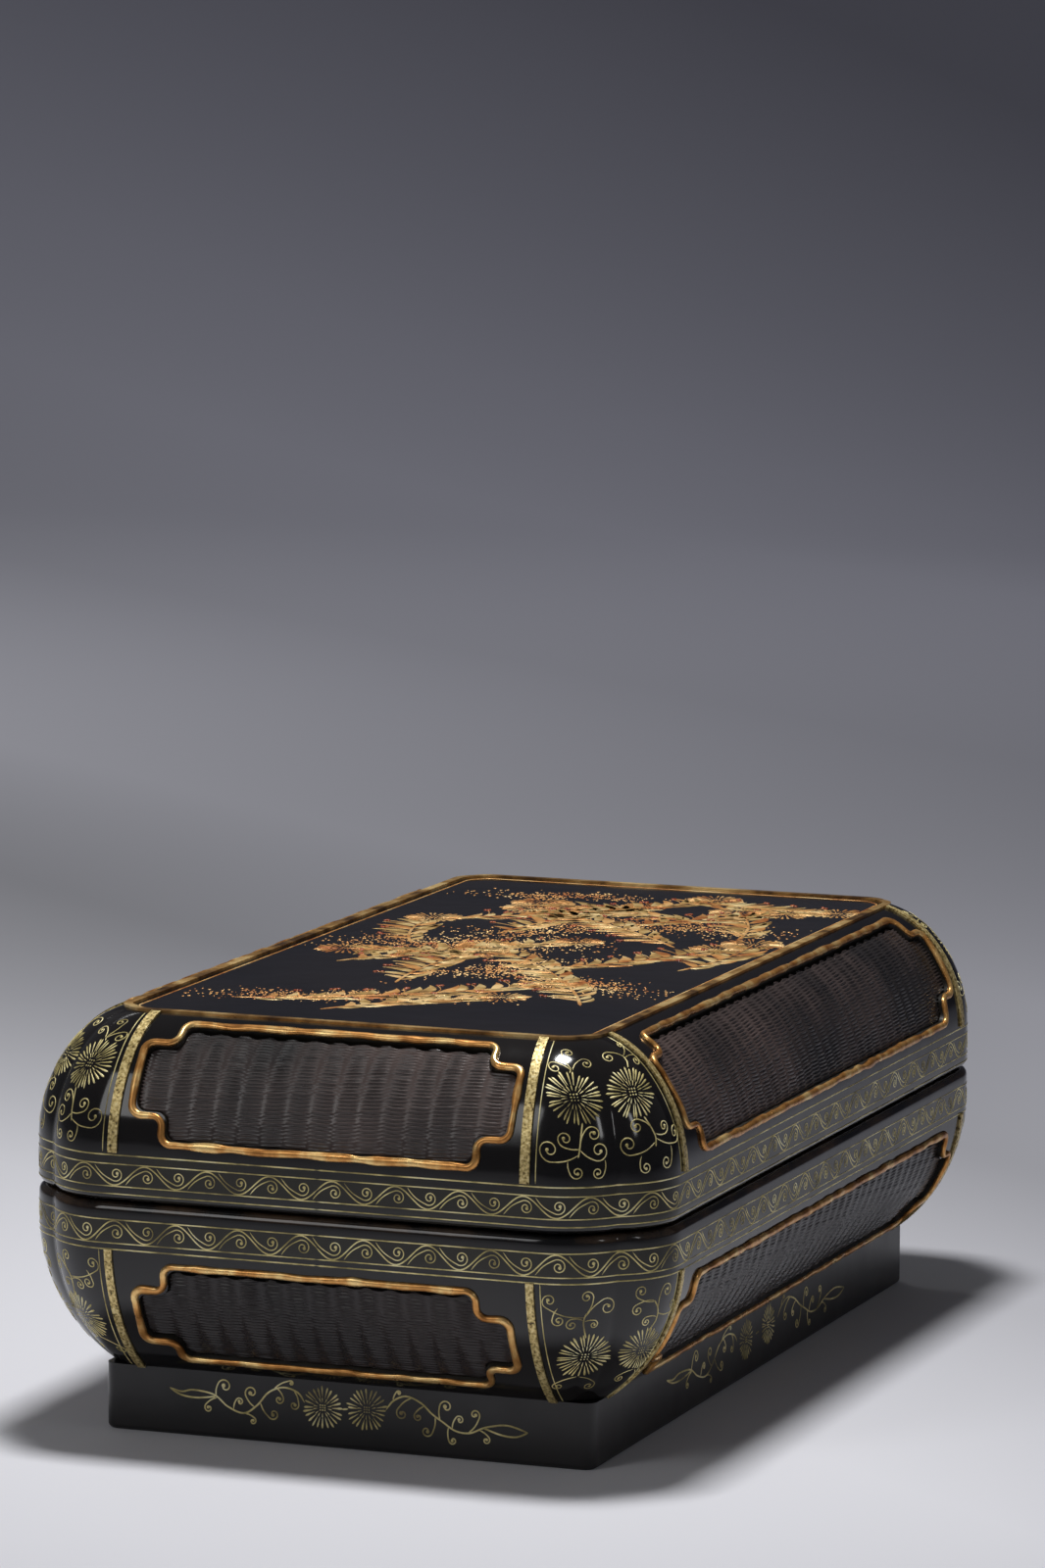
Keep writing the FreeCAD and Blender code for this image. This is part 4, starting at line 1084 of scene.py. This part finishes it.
# Painted shade: the body's weave, below 52 mm, faces down under the lid and is painted darker than the
# lid's weave.
tint_between(weave_dark, 0.0, 0.052, (0.012, 0.010, 0.010), 0.82)

for wall, body in (("lid", "lid"), ("body", "box")):
    for index, side in enumerate(SIDES):
        woven = woven_panel(wall, side, weave_dark)
        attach(woven, body)
        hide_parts("%s_weave_%s" % (wall, side))
        bead = bead_loop(wall, side, bead_gold, 40 + 10 * index + (5 if wall == "lid" else 0))
        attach(bead, body)
        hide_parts("%s_frame_%s" % (wall, side))

for wall, body in (("lid", "lid"), ("body", "box")):
    work = wall_work(wall).mesh("%s_gold_lines" % wall, line_gold)
    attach(work, body)

foot_lines = foot_work().mesh("foot_gold_lines", line_gold)
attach(foot_lines, "box")
for strokes, (name, mat, slot) in zip(top_work(), (
        ("top_sprays", warm_gold, "raised_gold"), ("top_leaves", leaf_gold, "mottled_gold"),
        ("top_berries", cinnabar, "lacquer"), ("top_dust", warm_gold, "mottled_gold"))):
    piece = strokes.mesh(name, mat)
    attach(piece, "lid")
for number in (1, 2):
    tuft = hair_tuft(number, hair)
    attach(tuft, "brush_%d" % number)
    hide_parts("brush_%d_tuft" % number)

NODE_MATERIALS = {
    "foot_frame": foot_black, "top_board": black, "top_edge": edge_gold, "floor_board": sprinkled,
    "inner_rim": black, "base_board": sprinkled, "tray_bearers": black, "tray_frame": black,
    "tray_floor": sprinkled, "tray_divider": black, "inkstone": slate, "water_dropper": bronze,
    "ink_stick": ink, "brush_1_handle": bamboo, "brush_2_handle": bamboo,
}
for name, node in nodes.items():
    node.data.shade_smooth()
    node.data.set_sharp_from_angle(angle=math.radians(30))
    if "_straps_" in name:
        node.data.materials[0] = strap_gold
    elif name in NODE_MATERIALS:
        node.data.materials[0] = NODE_MATERIALS[name]

# Stage, lights and camera
FLOOR_FRONT, FLOOR_BACK, SWEEP_RADIUS, WALL_TOP, STAGE_HALF = -3000, 1800, 1400, 2400, 2500
# Painted shade on the paper: its brightness by metres of depth and height together, with a share of the way
# to the right. It is brightest in front, dips a little behind the box, then darkens up the backdrop and
# towards the right, standing in for the fall of the light.
STAGE_SHADE_TONES = (
    (0.0, 0.76), (0.16, 0.57), (0.30, 0.42), (0.50, 0.57), (0.90, 0.45), (1.32, 0.50), (1.54, 0.44),
    (1.78, 0.34), (2.18, 0.19),
)
STAGE_REACH, STAGE_SLANT = 3.0, 0.8


def stage_sheet():
    """Pale floor that sweeps up into a backdrop behind the box."""
    rows = [(FLOOR_FRONT + (FLOOR_BACK - FLOOR_FRONT) * k / 12, 0.0) for k in range(13)]
    for k in range(1, 41):
        turn = math.pi / 2 * k / 40
        rows.append((FLOOR_BACK + SWEEP_RADIUS * math.sin(turn), SWEEP_RADIUS * (1 - math.cos(turn))))
    for k in range(1, 5):
        rows.append((FLOOR_BACK + SWEEP_RADIUS, SWEEP_RADIUS + (WALL_TOP - SWEEP_RADIUS) * k / 4))
    points, faces = [], []
    for y, z in rows:
        points += [(-STAGE_HALF, y, z), (STAGE_HALF, y, z)]
    loft(faces, 0, len(rows), 2, strip=True)
    return points, faces


stage_mat, stage_shader = new_material("stage_paper")
split = add(stage_mat, "ShaderNodeSeparateXYZ", {"Vector": object_place(stage_mat)}).outputs
depth = add(stage_mat, "ShaderNodeMath", {0: split["Y"], 1: split["Z"]}, operation="ADD")
reach = add(stage_mat, "ShaderNodeMath", {
    0: split["X"], 1: STAGE_SLANT, 2: depth.outputs[0],
}, operation="MULTIPLY_ADD")
span = add(stage_mat, "ShaderNodeMapRange", {
    "Value": reach.outputs[0], "From Min": 0.0, "From Max": STAGE_REACH,
})
# Painted shade: the paper's colour follows this ramp of depth, height and the way to the right.
shade_tones = [(at / STAGE_REACH, (tone, tone, tone * (1.06 + 0.08 * at))) for at, tone in STAGE_SHADE_TONES]
feed(stage_mat, stage_shader, {
    "Base Color": ramp(stage_mat, span.outputs["Result"], shade_tones), "Roughness": 0.7,
})
points, faces = stage_sheet()
sweep = make_mesh("stage_sweep", points, faces, stage_mat)


def area_light(name, location, target, size_x, size_y, power):
    data = bpy.data.lights.new(name, "AREA")
    data.shape = "RECTANGLE"
    data.size, data.size_y = size_x, size_y
    data.energy = power
    obj = bpy.data.objects.new(name, data)
    bpy.context.scene.collection.objects.link(obj)
    obj.location = location
    obj.rotation_euler = (Vector(target) - Vector(location)).to_track_quat("-Z", "Y").to_euler()


area_light("overhead_soft", (-0.005, -0.02, 0.64), (0, 0, 0.05), 0.12, 0.10, 3.6)
area_light("front_left_soft", (-0.62, -1.25, 0.85), (0, 0, 0.06), 0.40, 0.8, 2.8)
area_light("right_strip", (1.0, -0.35, 0.6), (0, 0, 0.06), 0.08, 0.3, 0.35)
area_light("backdrop_wash", (-0.9, 0.9, 1.1), (-0.8, 2.0, 0.0), 0.4, 0.5, 6.0)

world = bpy.data.worlds.new("studio")
bpy.context.scene.world = world
world.use_nodes = True
background = world.node_tree.nodes["Background"]
background.inputs["Color"].default_value = (0.9, 0.92, 1.0, 1)
background.inputs["Strength"].default_value = 0.08

camera = bpy.data.objects.new("camera", bpy.data.cameras.new("camera"))
bpy.context.scene.collection.objects.link(camera)
camera.data.sensor_fit = "VERTICAL"
camera.data.sensor_height = 36
camera.data.lens = 167.0
camera.data.clip_end = 20
place = Vector((0.5883, -1.5702, 0.3619))
yaw, pitch, roll = 0.3589, 0.1348, 0.0049
back = Vector((math.sin(yaw) * math.cos(pitch), -math.cos(yaw) * math.cos(pitch), math.sin(pitch)))
right = (-back).cross(Vector((0, 0, 1))).normalized()
up = right.cross(-back)
right, up = right * math.cos(roll) + up * math.sin(roll), -right * math.sin(roll) + up * math.cos(roll)
rotation = Matrix((right, up, back)).transposed()
camera.matrix_world = Matrix.Translation(place) @ rotation.to_4x4()
bpy.context.scene.camera = camera
bpy.context.scene.view_settings.view_transform = "Standard"
